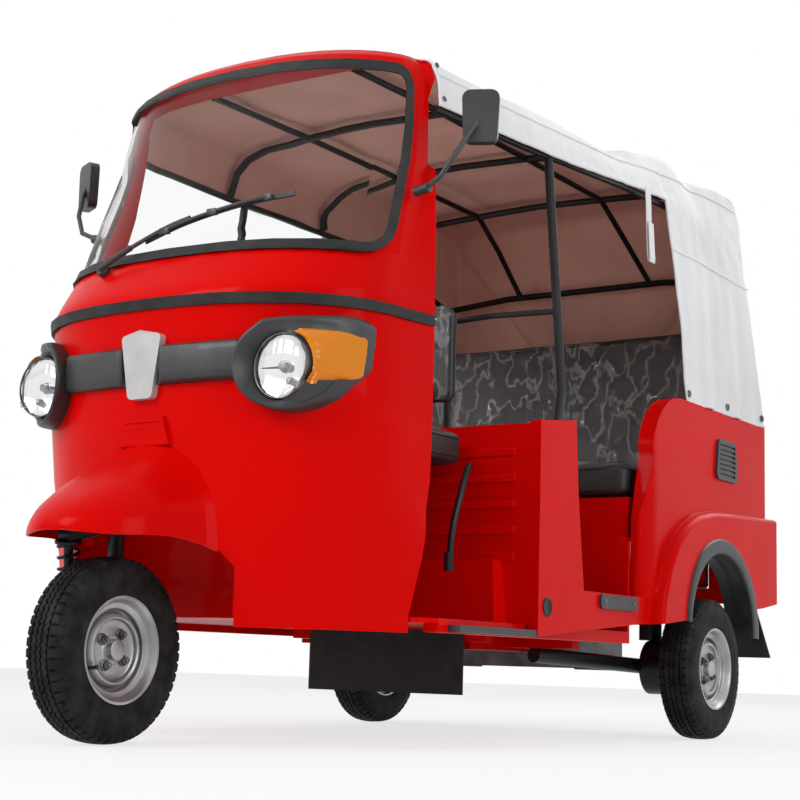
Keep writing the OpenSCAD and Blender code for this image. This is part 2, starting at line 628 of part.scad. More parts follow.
// ---------- underside ----------
module engine_block() color("#5b5d60") placed() box([-170, 640, 196], [170, 1160, bench_z - floor_t]);
arm_pivot = [330, 270, 230];
arm_end = [424, 830, 206];
module rear_arms() color(black) placed() mirrored() {
    difference() {
        bar(arm_pivot, arm_end, 22);
        box([200, 200, floor_z - 40], [460, 400, floor_z]);
    }
    disc(424, half_track - 44, rear_axle_y, tyre_r, 80);
    disc(170, 424, rear_axle_y, tyre_r, 14);
    disc(half_track - 44, half_track + hub_x - 1, rear_axle_y, tyre_r, 15);
}
module rear_springs() color(black) placed() mirrored() {
    translate([424, rear_axle_y, tyre_r + 80]) cylinder(r = 34, h = bench_z - floor_t - tyre_r - 80,
        $fn = 32);
}
module mud_flaps() color(black) placed() {
    mirrored() meshed() hull() {
        box([482, 1208, 395], [612, 1213, 400]);
        box([470, 1244, 246], [644, 1249, 250]);
    }
    box([-255, 14, 116], [255, 19, floor_z]);
}

// ---------- steering ----------
fork_x = -96; // plane of the fork leg, to one side of the tyre
column = [500, 545]; // foot's height and length of the steering column
module steering_fork() color(black) placed() meshed() union() {
    // column along the steering axis
    translate(axis_at(column[0])) rotate([-rake, 0, 0]) cylinder(r = 17, h = column[1], $fn = 24);
    translate(axis_at(496)) rotate([-rake, 0, 0]) cylinder(r = 30, h = 80, $fn = 24);
    tube([axis_at(520), [-40, -994, 504], [-84, -986, 470], [fork_x, -974, 400], [fork_x, -962, 300],
        [fork_x, -966, 215]], 19, 10);
    disc(fork_x - 24, fork_x + 22, -966, 212, 26, 24);
    spring_bracket();
}
spring_foot = [-112, -1094, 262];
spring_head = [-88, -1138, 452];
module spring_bracket() hull() {
    disc(spring_head.x - 14, spring_head.x + 14, spring_head.y, spring_head.z + 8, 18, 24);
    translate([-50, -1000, 500]) sphere(r = 16, $fn = 16);
}
grip_z = 1040;
module handlebar() color(black) placed() meshed() union() {
    mirrored() tube([[0, -822, grip_z], [90, -822, grip_z], [200, -768, 1050], [240, -734, 1056]], 11);
    mirrored() tube([[150, -790, 1046], [200, -766, 1050], [252, -724, 1057]], 17);
    hull() {
        translate(axis_at(column[0])) rotate([-rake, 0, 0]) translate([0, 0, column[1]])
            cylinder(r = 32, h = 20, $fn = 32);
        translate([0, -830, 1056]) scale([80, 44, 22]) sphere(r = 1, $fn = 16);
    }
}
module front_link() color(black) placed() union() {
    hull() {
        disc(fork_x - 44, fork_x - 25, -966, 212, 24, 32);
        disc(fork_x - 44, fork_x - 25, front_axle_y, tyre_r, 28, 32);
    }
    disc(fork_x - 30, hub_x - 1, front_axle_y, tyre_r, 14, 32);
    brake_drum();
}
drum_r = 70;
module brake_drum(gap = 0) disc(fork_x - 44, -50, front_axle_y, tyre_r, drum_r + gap, 48);
module front_spring() color(black) placed() meshed() difference() {
    axis = spring_head - spring_foot;
    turns = 6;
    translate(spring_foot) rotate([0, acos(axis.z / norm(axis)), atan2(axis.y, axis.x)]) {
        tube([for (i = [0 : 8 * turns]) let(a = i * 45)
              [24 * cos(a), 24 * sin(a), 28 + i / (8 * turns) * (norm(axis) - 42)]], 4.5, 4);
        cylinder(r = 11, h = norm(axis), $fn = 16);
        translate([0, 0, 22]) cylinder(r = 30, h = 6, $fn = 20);
        translate([0, 0, norm(axis) - 12]) cylinder(r = 30, h = 6, $fn = 20);
    }
    brake_drum(0.3);
    spring_bracket();
}

// ---------- wheels, outboard side toward +X ----------
module tyre_form() color(black) rotate([0, 90, 0]) rotate_extrude($fn = 96) polygon([
    [rim_r + 2, -45], [rim_r + 10, -50], [160, -tyre_w / 2], [186, -50], [198, -42],
    [tyre_r - 1, -34], [tyre_r - 1, -26], [tyre_r - 6, -25], [tyre_r - 6, -20], [tyre_r, -19],
        [tyre_r, -3], [tyre_r - 6, -3],
    [tyre_r - 6, 3], [tyre_r, 3], [tyre_r, 19], [tyre_r - 6, 20], [tyre_r - 6, 25], [tyre_r - 1, 26],
        [tyre_r - 1, 34],
    [198, 42], [186, 50], [160, tyre_w / 2], [rim_r + 10, 50], [rim_r + 2, 45]]);
nut_pcd = 78;
hub_x = 22; // outer face of the wheel's hub from its middle
module rim_form() color(silver) rotate([0, 90, 0]) {
    difference() {
        rotate_extrude($fn = 96) polygon([
            [16, 22], [58, 22], [62, 18], [78, 18], [84, 30], [92, 34], [98, 42], [rim_r, 48],
                [rim_r + 2, 46], [rim_r + 2, -46],
            [rim_r, -48], [98, -44], [92, -34], [86, -20], [84, 8], [76, 12], [62, 12], [58, 14], [16, 14]]);
    }
    rotate_extrude($fn = 48) polygon([[0, 30], [20, 30], [23, 26], [23, 22], [0, 22]]);
    for (a = [45 : 90 : 315]) rotate([0, 0, a]) translate([nut_pcd / 2, 0, 22])
        cylinder(r = 8, h = 12, $fn = 6);
}
front_hub = [0, front_axle_y, tyre_r];
module front_tyre() placed() translate(front_hub) tyre_form();
module front_rim() placed() translate(front_hub) rim_form();
module rear_left_tyre() placed() translate([half_track, rear_axle_y, tyre_r]) tyre_form();
module rear_left_rim() placed() translate([half_track, rear_axle_y, tyre_r]) rim_form();
module rear_right_tyre() placed() translate([-half_track, rear_axle_y, tyre_r]) mirror([1, 0, 0]) tyre_form();
module rear_right_rim() placed() translate([-half_track, rear_axle_y, tyre_r]) mirror([1, 0, 0]) rim_form();

chassis();
wheel_well();
steering_head();
cab_shell();
front_fender();
windscreen();
windscreen_seal();
belt_moulding();
lamp_bar();
headlamps();
indicators();
centre_shield();
dashboard();
wiper();
mirrors();
driver_seat();
driver_backrest();
guard_rail();
partition();
side_panels();
sill_trims();
rear_body();
rear_lid();
arch_trims();
vent_grilles();
tail_lamps();
bench_base();
bench_cushion();
bench_backrest();
canopy_frame();
canopy_cover();
engine_block();
rear_arms();
rear_springs();
mud_flaps();
steering_fork();
handlebar();
front_link();
front_spring();
front_tyre();
front_rim();
rear_left_tyre();
rear_left_rim();
rear_right_tyre();
rear_right_rim();
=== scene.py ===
# %% [markdown]
# # Auto rickshaw: finishing a fixed CAD model in Blender
# The solids come packed from the CAD side, in metres, with +Z up and the front toward -Y.
# Nothing here moves or reshapes them. This lesson gives them paint, rubber, glass and cloth,
# and adds what a drawing of the main parts leaves out: stitched cushions, a fabric hood,
# tyre tread, lamp reflectors, screws and straps.

import json
import math

import bmesh
import bpy
from mathutils import Matrix, Vector, noise
from mathutils.bvhtree import BVHTree


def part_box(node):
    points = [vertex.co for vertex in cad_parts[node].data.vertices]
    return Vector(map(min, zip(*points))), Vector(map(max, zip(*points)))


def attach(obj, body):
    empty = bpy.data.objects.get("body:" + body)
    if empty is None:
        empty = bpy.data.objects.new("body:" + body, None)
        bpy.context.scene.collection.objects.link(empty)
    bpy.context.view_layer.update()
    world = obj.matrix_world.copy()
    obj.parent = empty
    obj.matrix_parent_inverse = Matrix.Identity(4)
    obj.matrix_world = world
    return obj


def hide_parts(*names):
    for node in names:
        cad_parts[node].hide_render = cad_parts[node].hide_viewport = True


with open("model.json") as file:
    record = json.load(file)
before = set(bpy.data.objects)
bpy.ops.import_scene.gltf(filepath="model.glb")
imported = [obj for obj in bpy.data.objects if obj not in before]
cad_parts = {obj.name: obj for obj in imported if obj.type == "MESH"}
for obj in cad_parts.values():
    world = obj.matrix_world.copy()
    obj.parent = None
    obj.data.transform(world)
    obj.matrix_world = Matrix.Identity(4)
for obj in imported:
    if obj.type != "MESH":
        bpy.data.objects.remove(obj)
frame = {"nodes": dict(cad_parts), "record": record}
scene = bpy.context.scene
record = frame["record"]
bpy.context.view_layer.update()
BODY_OF = {node: body for body, nodes in record["behaviour"]["bodies"].items() for node in nodes}
SLOT_OF = {part["node"]: part["material_slot"] for part in record["subparts"]}

# %% [markdown]
# ## The camera
# A long lens from about three metres away, low down and in front of the vehicle's left corner.
# It stands just 20 cm above the ground, so the floor is seen edge on and the roof from below.
# The three columns of its matrix are what the camera calls right, up and backward.

# %% Camera
bpy.ops.object.camera_add(location=(2.594, -3.8705, 0.197))
camera = bpy.context.object
right = Vector((0.83465, 0.54997, 0.02965))
up = Vector((0.06146, -0.14651, 0.98730))
back = Vector((0.54733, -0.82223, -0.15609))
camera.rotation_euler = Matrix((right, up, back)).transposed().to_euler()
camera.data.lens = 74.75
camera.data.sensor_width = 36
camera.data.clip_end = 60
scene.camera = camera
scene.view_settings.view_transform = "Standard"
print("lens", camera.data.lens, "mm")

# %% [markdown]
# ## The studio
# A pale floor, a pale world and three large soft lamps. The camera, mirrors and glass see plain
# white, while paint is lit at an ordinary level: the Light Path node tells these rays apart, so
# the background stays white and red paint keeps the red it is given.

# %% Pale surroundings
def seen_directly(tree):
    """Value that is 1 for camera, glossy and transmission rays."""
    path = tree.nodes.new("ShaderNodeLightPath")
    first, second = tree.nodes.new("ShaderNodeMath"), tree.nodes.new("ShaderNodeMath")
    for node in (first, second):
        node.operation = "MAXIMUM"
    tree.links.new(path.outputs["Is Camera Ray"], first.inputs[0])
    tree.links.new(path.outputs["Is Transmission Ray"], first.inputs[1])
    tree.links.new(first.outputs[0], second.inputs[0])
    tree.links.new(path.outputs["Is Glossy Ray"], second.inputs[1])
    return second.outputs[0]

world = bpy.data.worlds.new("studio_air")
scene.world = world
world.use_nodes = True
air = world.node_tree
lit, seen = air.nodes["Background"], air.nodes.new("ShaderNodeBackground")
mixed = air.nodes.new("ShaderNodeMixShader")
lit.inputs["Color"].default_value = (0.93, 0.95, 1.0, 1)
lit.inputs["Strength"].default_value = 0.50
seen.inputs["Color"].default_value = (1, 1, 1, 1)
seen.inputs["Strength"].default_value = 1.0
air.links.new(seen_directly(air), mixed.inputs[0])
air.links.new(lit.outputs[0], mixed.inputs[1])
air.links.new(seen.outputs[0], mixed.inputs[2])
air.links.new(mixed.outputs[0], air.nodes["World Output"].inputs["Surface"])

# %% Floor that keeps the shadow
def studio_floor_finish():
    finish = bpy.data.materials.new("studio_floor")
    finish.use_nodes = True
    tree = finish.node_tree
    paint = tree.nodes["Principled BSDF"]
    paint.inputs["Base Color"].default_value = (0.86, 0.86, 0.86, 1)
    paint.inputs["Roughness"].default_value = 0.9
    glow, mix = tree.nodes.new("ShaderNodeEmission"), tree.nodes.new("ShaderNodeMixShader")
    amount = tree.nodes.new("ShaderNodeMath")
    glow.inputs["Color"].default_value = (1, 1, 1, 1)
    glow.inputs["Strength"].default_value = 1.0
    amount.operation = "MULTIPLY"
    amount.inputs[1].default_value = 0.72
    tree.links.new(seen_directly(tree), amount.inputs[0])
    tree.links.new(amount.outputs[0], mix.inputs[0])
    tree.links.new(paint.outputs[0], mix.inputs[1])
    tree.links.new(glow.outputs[0], mix.inputs[2])
    tree.links.new(mix.outputs[0], tree.nodes["Material Output"].inputs["Surface"])
    return finish

bpy.ops.object.select_all(action="DESELECT")
bpy.ops.mesh.primitive_plane_add(size=24, location=(0, 0, 0))
floor = bpy.context.object
floor.name = "studio_floor"
floor.data.materials.append(studio_floor_finish())

# %% Soft lamps
LAMPS = [  # name, place, size, watts
    ("key_lamp", (-1.6, -5.2, 3.6), 2.4, 165),
    ("side_lamp", (5.2, -1.6, 2.6), 2.6, 78),
    ("back_lamp", (1.0, 4.6, 4.0), 3.0, 90),
]
for name, place, size, watts in LAMPS:
    bpy.ops.object.light_add(type="AREA", location=place)
    lamp = bpy.context.object
    lamp.name = name
    lamp.data.energy = watts
    lamp.data.size = size
    lamp.rotation_euler = (Vector((0, 0, 0.8)) - Vector(place)).to_track_quat("-Z", "Y").to_euler()
print(len(LAMPS), "lamps")

# %% [markdown]
# ## Finishes
# Each finish is one Principled shader. Noise in object space breaks up its colour and gloss at
# the scale of the real surface, and a bump gives grain. Values that are the same everywhere are
# typed straight into the shader, so that they survive an export.

# %% A helper for finishes
def new_finish(name, color, roughness, metallic=0.0, **sockets):
    finish = bpy.data.materials.new(name)
    finish.use_nodes = True
    shader = finish.node_tree.nodes["Principled BSDF"]
    shader.inputs["Base Color"].default_value = (*color, 1)
    shader.inputs["Roughness"].default_value = roughness
    shader.inputs["Metallic"].default_value = metallic
    for socket, value in sockets.items():
        shader.inputs[socket.replace("_", " ").title().replace("Ior", "IOR")].default_value = value
    return finish

def noise_of(finish, scale, detail=3.0, stretch=(1, 1, 1)):
    """Noise on object coordinates, in cycles per metre."""
    tree = finish.node_tree
    place, turn = tree.nodes.new("ShaderNodeTexCoord"), tree.nodes.new("ShaderNodeMapping")
    noise = tree.nodes.new("ShaderNodeTexNoise")
    turn.inputs["Scale"].default_value = stretch
    noise.inputs["Scale"].default_value = scale
    noise.inputs["Detail"].default_value = detail
    tree.links.new(place.outputs["Object"], turn.inputs["Vector"])
    tree.links.new(turn.outputs["Vector"], noise.inputs["Vector"])
    return noise.outputs["Fac"]

def vary_color(finish, pattern, dark, light, low=0.35, high=0.65):
    tree = finish.node_tree
    ramp = tree.nodes.new("ShaderNodeValToRGB")
    ramp.color_ramp.elements[0].position, ramp.color_ramp.elements[1].position = low, high
    ramp.color_ramp.elements[0].color, ramp.color_ramp.elements[1].color = (*dark, 1), (*light, 1)
    tree.links.new(pattern, ramp.inputs["Fac"])
    tree.links.new(ramp.outputs["Color"], tree.nodes["Principled BSDF"].inputs["Base Color"])
    return ramp

def vary_roughness(finish, pattern, low, high):
    tree = finish.node_tree
    spread = tree.nodes.new("ShaderNodeMapRange")
    spread.inputs["To Min"].default_value = low
    spread.inputs["To Max"].default_value = high
    tree.links.new(pattern, spread.inputs["Value"])
    tree.links.new(spread.outputs["Result"], tree.nodes["Principled BSDF"].inputs["Roughness"])

def add_bump(finish, pattern, depth, strength=1.0):
    """Bump of the given depth in metres."""
    tree = finish.node_tree
    bump = tree.nodes.new("ShaderNodeBump")
    bump.inputs["Distance"].default_value = depth
    bump.inputs["Strength"].default_value = strength
    tree.links.new(pattern, bump.inputs["Height"])
    tree.links.new(bump.outputs["Normal"], tree.nodes["Principled BSDF"].inputs["Normal"])
    return bump

# %% [markdown]
# ### Paint
# The body is sprayed in one bright red enamel under a clear coat. A coat layer gives the sharp
# reflection, the colour below is almost pure red, and a very shallow noise is the orange peel
# that sprayed steel always has. The tubes wear a thinner satin black.

# %% Paint finishes
red_enamel = new_finish("red_enamel", (0.64, 0.0015, 0.001), 0.34, coat_weight=0.05,
                        coat_roughness=0.04,
                        specular_ior_level=0.07, specular_tint=(1.0, 0.02, 0.015, 1))
vary_color(red_enamel, noise_of(red_enamel, 1.6, 2), (0.62, 0.0013, 0.0008), (0.68, 0.0018, 0.0011))
vary_roughness(red_enamel, noise_of(red_enamel, 9, 4), 0.30, 0.42)
add_bump(red_enamel, noise_of(red_enamel, 240, 2), 0.00006)

black_enamel = new_finish("black_enamel", (0.012, 0.012, 0.013), 0.36, specular_ior_level=0.25)
vary_roughness(black_enamel, noise_of(black_enamel, 30, 4), 0.28, 0.5)
add_bump(black_enamel, noise_of(black_enamel, 300, 2), 0.00008)

wheel_silver = new_finish("wheel_silver", (0.42, 0.42, 0.43), 0.34, metallic=0.75)
vary_color(wheel_silver, noise_of(wheel_silver, 14, 4), (0.30, 0.30, 0.31), (0.47, 0.47, 0.48))
vary_roughness(wheel_silver, noise_of(wheel_silver, 60, 3), 0.26, 0.48)
add_bump(wheel_silver, noise_of(wheel_silver, 500, 2), 0.00004)

cast_metal = new_finish("cast_metal", (0.16, 0.16, 0.165), 0.6, metallic=0.7)
vary_color(cast_metal, noise_of(cast_metal, 12, 5), (0.09, 0.085, 0.08), (0.2, 0.2, 0.205))
add_bump(cast_metal, noise_of(cast_metal, 160, 4), 0.0005)

dark_steel = new_finish("dark_steel", (0.13, 0.13, 0.135), 0.40, metallic=0.8)
vary_color(dark_steel, noise_of(dark_steel, 30, 4), (0.07, 0.07, 0.07), (0.20, 0.20, 0.205))
vary_roughness(dark_steel, noise_of(dark_steel, 80, 3), 0.3, 0.55)
print("paint and metal done")

# %% [markdown]
# ### Plastic and rubber
# Mouldings are dark grey with a fine spark-eroded grain. Rubber is blacker and duller, with a
# little dust in its hollows, which a low frequency noise imitates.

# %% Plastic and rubber finishes
grained_plastic = new_finish("grained_plastic", (0.028, 0.028, 0.030), 0.42, specular_ior_level=0.5)
vary_color(grained_plastic, noise_of(grained_plastic, 7, 3), (0.022, 0.022, 0.024),
           (0.036, 0.036, 0.038))
add_bump(grained_plastic, noise_of(grained_plastic, 900, 2), 0.00012)

seal_rubber = new_finish("seal_rubber", (0.012, 0.012, 0.012), 0.55, specular_ior_level=0.3)
vary_color(seal_rubber, noise_of(seal_rubber, 18, 4), (0.008, 0.008, 0.008), (0.022, 0.021, 0.020))
add_bump(seal_rubber, noise_of(seal_rubber, 350, 3), 0.0001)

tyre_rubber = new_finish("tyre_rubber", (0.014, 0.014, 0.014), 0.66, specular_ior_level=0.12)
vary_color(tyre_rubber, noise_of(tyre_rubber, 22, 5), (0.008, 0.008, 0.008), (0.030, 0.029, 0.028), 0.4,
           0.75)
vary_roughness(tyre_rubber, noise_of(tyre_rubber, 40, 4), 0.5, 0.8)
add_bump(tyre_rubber, noise_of(tyre_rubber, 420, 3), 0.00015)

silver_moulding = new_finish("silver_moulding", (0.50, 0.50, 0.49), 0.28, metallic=0.25,
                             coat_weight=0.3)
vary_color(silver_moulding, noise_of(silver_moulding, 20, 2), (0.46, 0.46, 0.45), (0.53, 0.53, 0.52))
add_bump(silver_moulding, noise_of(silver_moulding, 600, 2), 0.00003)

# %% [markdown]
# ### Glass and lenses
# The windscreen is a sheet of clear glass with a faint smoke tint. Lamp lenses are moulded with
# flutes that spread the beam: a wave pattern as bump does the same to what shows through them.

# %% Glass finishes
screen_glass = new_finish("screen_glass", (0.93, 0.95, 0.94), 0.015, transmission_weight=1.0, ior=1.12)
vary_roughness(screen_glass, noise_of(screen_glass, 6, 3), 0.0, 0.03)

lamp_glass = new_finish("lamp_glass", (0.98, 0.98, 0.98), 0.03, transmission_weight=1.0, ior=1.45)
amber_lens = new_finish("amber_lens", (0.90, 0.27, 0.0), 0.16, transmission_weight=0.2,
                        specular_ior_level=0.2, coat_weight=0.08)
red_lens = new_finish("red_lens", (0.45, 0.01, 0.008), 0.18, transmission_weight=0.3, ior=1.49,
                      coat_weight=0.4)
mirror_glass = new_finish("mirror_glass", (0.85, 0.87, 0.88), 0.03, metallic=1.0)
chromed = new_finish("chromed", (0.86, 0.86, 0.87), 0.08, metallic=1.0)

def flutes(finish, pitch, depth, axis="X"):
    tree = finish.node_tree
    place, wave = tree.nodes.new("ShaderNodeTexCoord"), tree.nodes.new("ShaderNodeTexWave")
    wave.wave_profile = "SIN"
    wave.bands_direction = axis
    wave.inputs["Scale"].default_value = 1 / pitch / 20 * math.pi
    tree.links.new(place.outputs["Object"], wave.inputs["Vector"])
    add_bump(finish, wave.outputs["Fac"], depth)

flutes(lamp_glass, 0.009, 0.0004)
flutes(amber_lens, 0.008, 0.0007, "Z")
flutes(red_lens, 0.008, 0.0006, "Z")
for bright in (mirror_glass, chromed):
    vary_roughness(bright, noise_of(bright, 40, 3), 0.02, 0.1)
print("glass done")

# %% [markdown]
# ### Cloth and vinyl
# The hood is a white coated cloth. Its weave is only a third of a millimetre, so it shows as a
# soft tooth, while broad stains and creases show from afar. The seats are black vinyl.

# %% Cloth finishes
hood_cloth = new_finish("hood_cloth", (0.76, 0.76, 0.755), 0.55, sheen_weight=0.05)
vary_color(hood_cloth, noise_of(hood_cloth, 3.5, 5), (0.72, 0.72, 0.715), (0.79, 0.79, 0.785))
add_bump(hood_cloth, noise_of(hood_cloth, 26, 6), 0.0022)
hood_liner = new_finish("hood_liner", (0.86, 0.50, 0.39), 0.7, sheen_weight=0.1)
vary_color(hood_liner, noise_of(hood_liner, 6, 4), (0.80, 0.45, 0.35), (0.88, 0.52, 0.41))
add_bump(hood_liner, noise_of(hood_liner, 40, 4), 0.0008)
seat_vinyl = new_finish("seat_vinyl", (0.010, 0.010, 0.011), 0.40, specular_ior_level=0.2,
                        coat_weight=0.05)
vary_color(seat_vinyl, noise_of(seat_vinyl, 10, 4), (0.008, 0.008, 0.009), (0.022, 0.022, 0.023))
add_bump(seat_vinyl, noise_of(seat_vinyl, 700, 3), 0.0003)
print("cloth done")

# %% [markdown]
# ## Hand tools
# The same few moves come back for every piece: hold one object, edit all of it, draw a line by
# extruding a corner, turn that line on an axis, make a pipe along it, and hand the result over to
# the body that carries it. Each move is an ordinary Blender operator with its own name here.

# %% Hold, edit and finish a piece
plan_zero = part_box("front_tyre")[0].y + 1.296  # where station 0 of the plan lies along Y

def at(x, y, z):
    """Plan position in millimetres as a point in metres."""
    return Vector((x / 1000, y / 1000 + plan_zero, z / 1000))

def deselect():
    if bpy.context.object and bpy.context.object.mode != "OBJECT":
        bpy.ops.object.mode_set(mode="OBJECT")
    bpy.ops.object.select_all(action="DESELECT")

def hold(piece):
    """Makes the piece the only one that an operator acts on."""
    deselect()
    piece.select_set(True)
    bpy.context.view_layer.objects.active = piece
    return piece

def edit_all(piece):
    hold(piece)
    bpy.ops.object.mode_set(mode="EDIT")
    bpy.ops.mesh.select_all(action="SELECT")

def back_to_object():
    bpy.ops.object.mode_set(mode="OBJECT")

def modified(piece, kind, **settings):
    """Adds a modifier and applies it."""
    hold(piece)
    modifier = piece.modifiers.new(kind.lower(), kind)
    for name, value in settings.items():
        setattr(modifier, name, value)
    bpy.ops.object.modifier_apply(modifier=modifier.name)
    return piece

def cleaned(piece, gap=0.00002):
    """Merges corners that coincide and turns every face outward."""
    edit_all(piece)
    bpy.ops.mesh.remove_doubles(threshold=gap)
    bpy.ops.mesh.normals_make_consistent(inside=False)
    back_to_object()
    return piece

def joined(pieces):
    hold(pieces[0])
    for piece in pieces[1:]:
        piece.select_set(True)
    if len(pieces) > 1:
        bpy.ops.object.join()
    return bpy.context.object

def mirrored_copy(piece):
    """Copy on the other side of the vehicle, its faces outward again."""
    hold(piece)
    bpy.ops.object.duplicate()
    copy = bpy.context.object
    copy.scale.x = -1
    bpy.ops.object.transform_apply(location=False, rotation=False, scale=True)
    edit_all(copy)
    bpy.ops.mesh.normals_make_consistent(inside=False)
    back_to_object()
    return copy

def handed_over(piece, name, finishes, body, replaced=(), angle=35):
    """Names, paints and smooths a piece, and lets it ride on its body."""
    hold(piece)
    bpy.ops.object.transform_apply(location=True, rotation=True, scale=True)
    piece.name = piece.data.name = name
    if not piece.data.materials:
        for finish in finishes:
            piece.data.materials.append(finish)
    bpy.ops.object.shade_smooth_by_angle(angle=math.radians(angle))
    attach(piece, body)
    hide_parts(*replaced)
    return piece

# %% Draw, turn, pipe and block
def traced(points):
    """A line of edges, drawn by extruding one corner from point to point."""
    deselect()
    bpy.ops.mesh.primitive_plane_add(size=0.01, location=points[0])
    bpy.ops.object.mode_set(mode="EDIT")
    bpy.ops.mesh.select_all(action="SELECT")
    bpy.ops.mesh.merge(type="CENTER")
    for start, end in zip(points, points[1:]):
        bpy.ops.mesh.extrude_region_move(TRANSFORM_OT_translate={"value": Vector(end) - Vector(start)})
    back_to_object()
    bpy.ops.object.transform_apply(location=True)
    return bpy.context.object

def turned(profile, centre, along, steps=96):
    """Spins a profile of (distance along the axis, radius) about an axis through centre."""
    along = Vector(along).normalized()
    outward = along.orthogonal().normalized()
    piece = traced([Vector(centre) + along * a + outward * r for a, r in profile])
    edit_all(piece)
    bpy.ops.mesh.spin(steps=steps, angle=2 * math.pi, center=centre, axis=along)
    back_to_object()
    return cleaned(piece)

def smooth_line(corners, between=6):
    """Points of a smooth curve through the corners."""
    corners = [Vector(c) for c in corners]
    ends = [2 * corners[0] - corners[1]] + corners + [2 * corners[-1] - corners[-2]]
    points = []
    for a, b, c, d in zip(ends, ends[1:], ends[2:], ends[3:]):
        for k in range(between):
            t = k / between
            points.append(0.5 * (2 * b + (c - a) * t + (2 * a - 5 * b + 4 * c - d) * t ** 2
                                 + (3 * b - a - 3 * c + d) * t ** 3))
    return points + [corners[-1]]

def piped(points, radius, sides=3):
    """A round pipe with closed ends along the points."""
    hold(traced(points))
    bpy.ops.object.convert(target="CURVE")
    line = bpy.context.object.data
    line.bevel_depth = radius
    line.bevel_resolution = sides
    line.use_fill_caps = True
    bpy.ops.object.convert(target="MESH")
    return cleaned(bpy.context.object)

def block(low, high, edge=0.002, steps=3):
    """A box between two corners with rounded edges."""
    low, high = Vector(low), Vector(high)
    deselect()
    bpy.ops.mesh.primitive_cube_add(size=1, location=(low + high) / 2, scale=high - low)
    piece = bpy.context.object
    bpy.ops.object.transform_apply(location=True, rotation=True, scale=True)
    return modified(piece, "BEVEL", width=edge, segments=steps, limit_method="ANGLE")

TREES = {}

def struck(node, origin, direction):
    """Where a straight line first meets a CAD node, and the way that face looks."""
    if node not in TREES:
        mesh = frame["nodes"][node].data
        TREES[node] = BVHTree.FromPolygons([v.co for v in mesh.vertices],
                                           [f.vertices[:] for f in mesh.polygons])
    place, normal, _, _ = TREES[node].ray_cast(Vector(origin), Vector(direction))
    return place, normal

print("hand tools ready; plan zero at y =", round(plan_zero, 4))

# %% [markdown]
# ## Dressing the solids
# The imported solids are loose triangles, shaded flat. A curved panel is copied, its corners are
# merged, and it is smoothed by angle, so that paint runs over it without facets. The copy keeps
# the solid's exact shape and takes its place.

# %% Copy, merge and smooth
FINISH_OF_SLOT = {
    "red_paint": red_enamel, "black_paint": black_enamel, "dark_plastic": grained_plastic,
    "rubber": seal_rubber, "seat_vinyl": seat_vinyl, "clear_glass": screen_glass,
    "lamp_lens": lamp_glass, "amber_lens": amber_lens, "red_lens": red_lens,
    "silver_plastic": silver_moulding, "canopy_vinyl": hood_cloth, "engine_metal": cast_metal,
    "tyre": tyre_rubber, "silver_steel": wheel_silver,
}

def finish_solid(node, finish=None):
    """Gives a CAD node its finish and leaves it in place."""
    solid = frame["nodes"][node]
    solid.data.materials.clear()
    solid.data.materials.append(finish or FINISH_OF_SLOT[SLOT_OF[node]])
    return solid

def smooth_copy(node, angle=32, finish=None):
    """Copy of a CAD node with merged corners and smooth shading, shown in its place."""
    piece = frame["nodes"][node].copy()
    piece.data = frame["nodes"][node].data.copy()
    piece.parent = None
    piece.name = node + "_dressed"
    scene.collection.objects.link(piece)
    bpy.ops.object.select_all(action="DESELECT")
    piece.select_set(True)
    bpy.context.view_layer.objects.active = piece
    bpy.ops.object.mode_set(mode="EDIT")
    bpy.ops.mesh.select_all(action="SELECT")
    bpy.ops.mesh.remove_doubles(threshold=0.00002)
    bpy.ops.mesh.dissolve_limited(angle_limit=math.radians(0.6))
    bpy.ops.object.mode_set(mode="OBJECT")
    bpy.ops.object.shade_smooth_by_angle(angle=math.radians(angle))
    modified(piece, "WEIGHTED_NORMAL", mode="FACE_AREA_WITH_ANGLE", weight=50, keep_sharp=True)
    piece.data.materials.clear()
    piece.data.materials.append(finish or FINISH_OF_SLOT[SLOT_OF[node]])
    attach(piece, BODY_OF[node])
    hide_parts(node)
    return piece

SMOOTHED = [
    "cab_shell", "front_fender", "rear_body", "windscreen", "windscreen_seal", "belt_moulding",
    "centre_shield", "mirrors", "canopy_frame", "guard_rail", "steering_fork", "handlebar",
    "front_spring", "side_panels", "partition", "arch_trims", "wheel_well", "steering_head",
    "dashboard"]
MADE_ANEW = [
    "lamp_bar", "headlamps", "indicators", "canopy_cover", "front_tyre", "front_rim",
    "rear_left_tyre", "rear_left_rim", "rear_right_tyre", "rear_right_rim", "driver_seat",
    "driver_backrest", "bench_cushion", "bench_backrest", "wiper"]
for node in BODY_OF:
    if node in SMOOTHED:
        smooth_copy(node)
    elif node not in MADE_ANEW:
        finish_solid(node)
print(len(SMOOTHED), "solids smoothed,", len(MADE_ANEW), "made anew below")

# %% [markdown]
# ## Wheels
# The tyre is a road tyre with a zigzag rib in the middle and blocks along both shoulders. Its
# section is drawn as a line and spun about the axle in many steps, and the corners are then moved
# by their angle: the ribs wander from side to side, and every sixth step of a shoulder is let
# down to make the gap between two blocks. The rim is a pressed steel dish: a turned profile with
# its ledges, a hub cap, four nuts and a valve.

# %% Tyre
BLOCKS = 52  # blocks round each shoulder
STEPS_PER_BLOCK = 6
TYRE_SECTION = [  # mm from the middle plane, mm of radius, from the inner bead over the tread
    (-38, 113), (-45, 117), (-49, 123), (-51, 134), (-52, 148), (-52, 160), (-50.5, 172),
    (-48, 182), (-45.5, 188), (-44, 191), (-43, 197), (-41, 200.5), (-37, 202.6), (-31, 203.8),
    (-26.5, 204.4), (-25.5, 199), (-22.5, 199), (-21.5, 205), (-15, 205.6), (-9.5, 205.8),
    (-8.5, 200), (-5.5, 200), (-4.5, 206), (0, 206)]

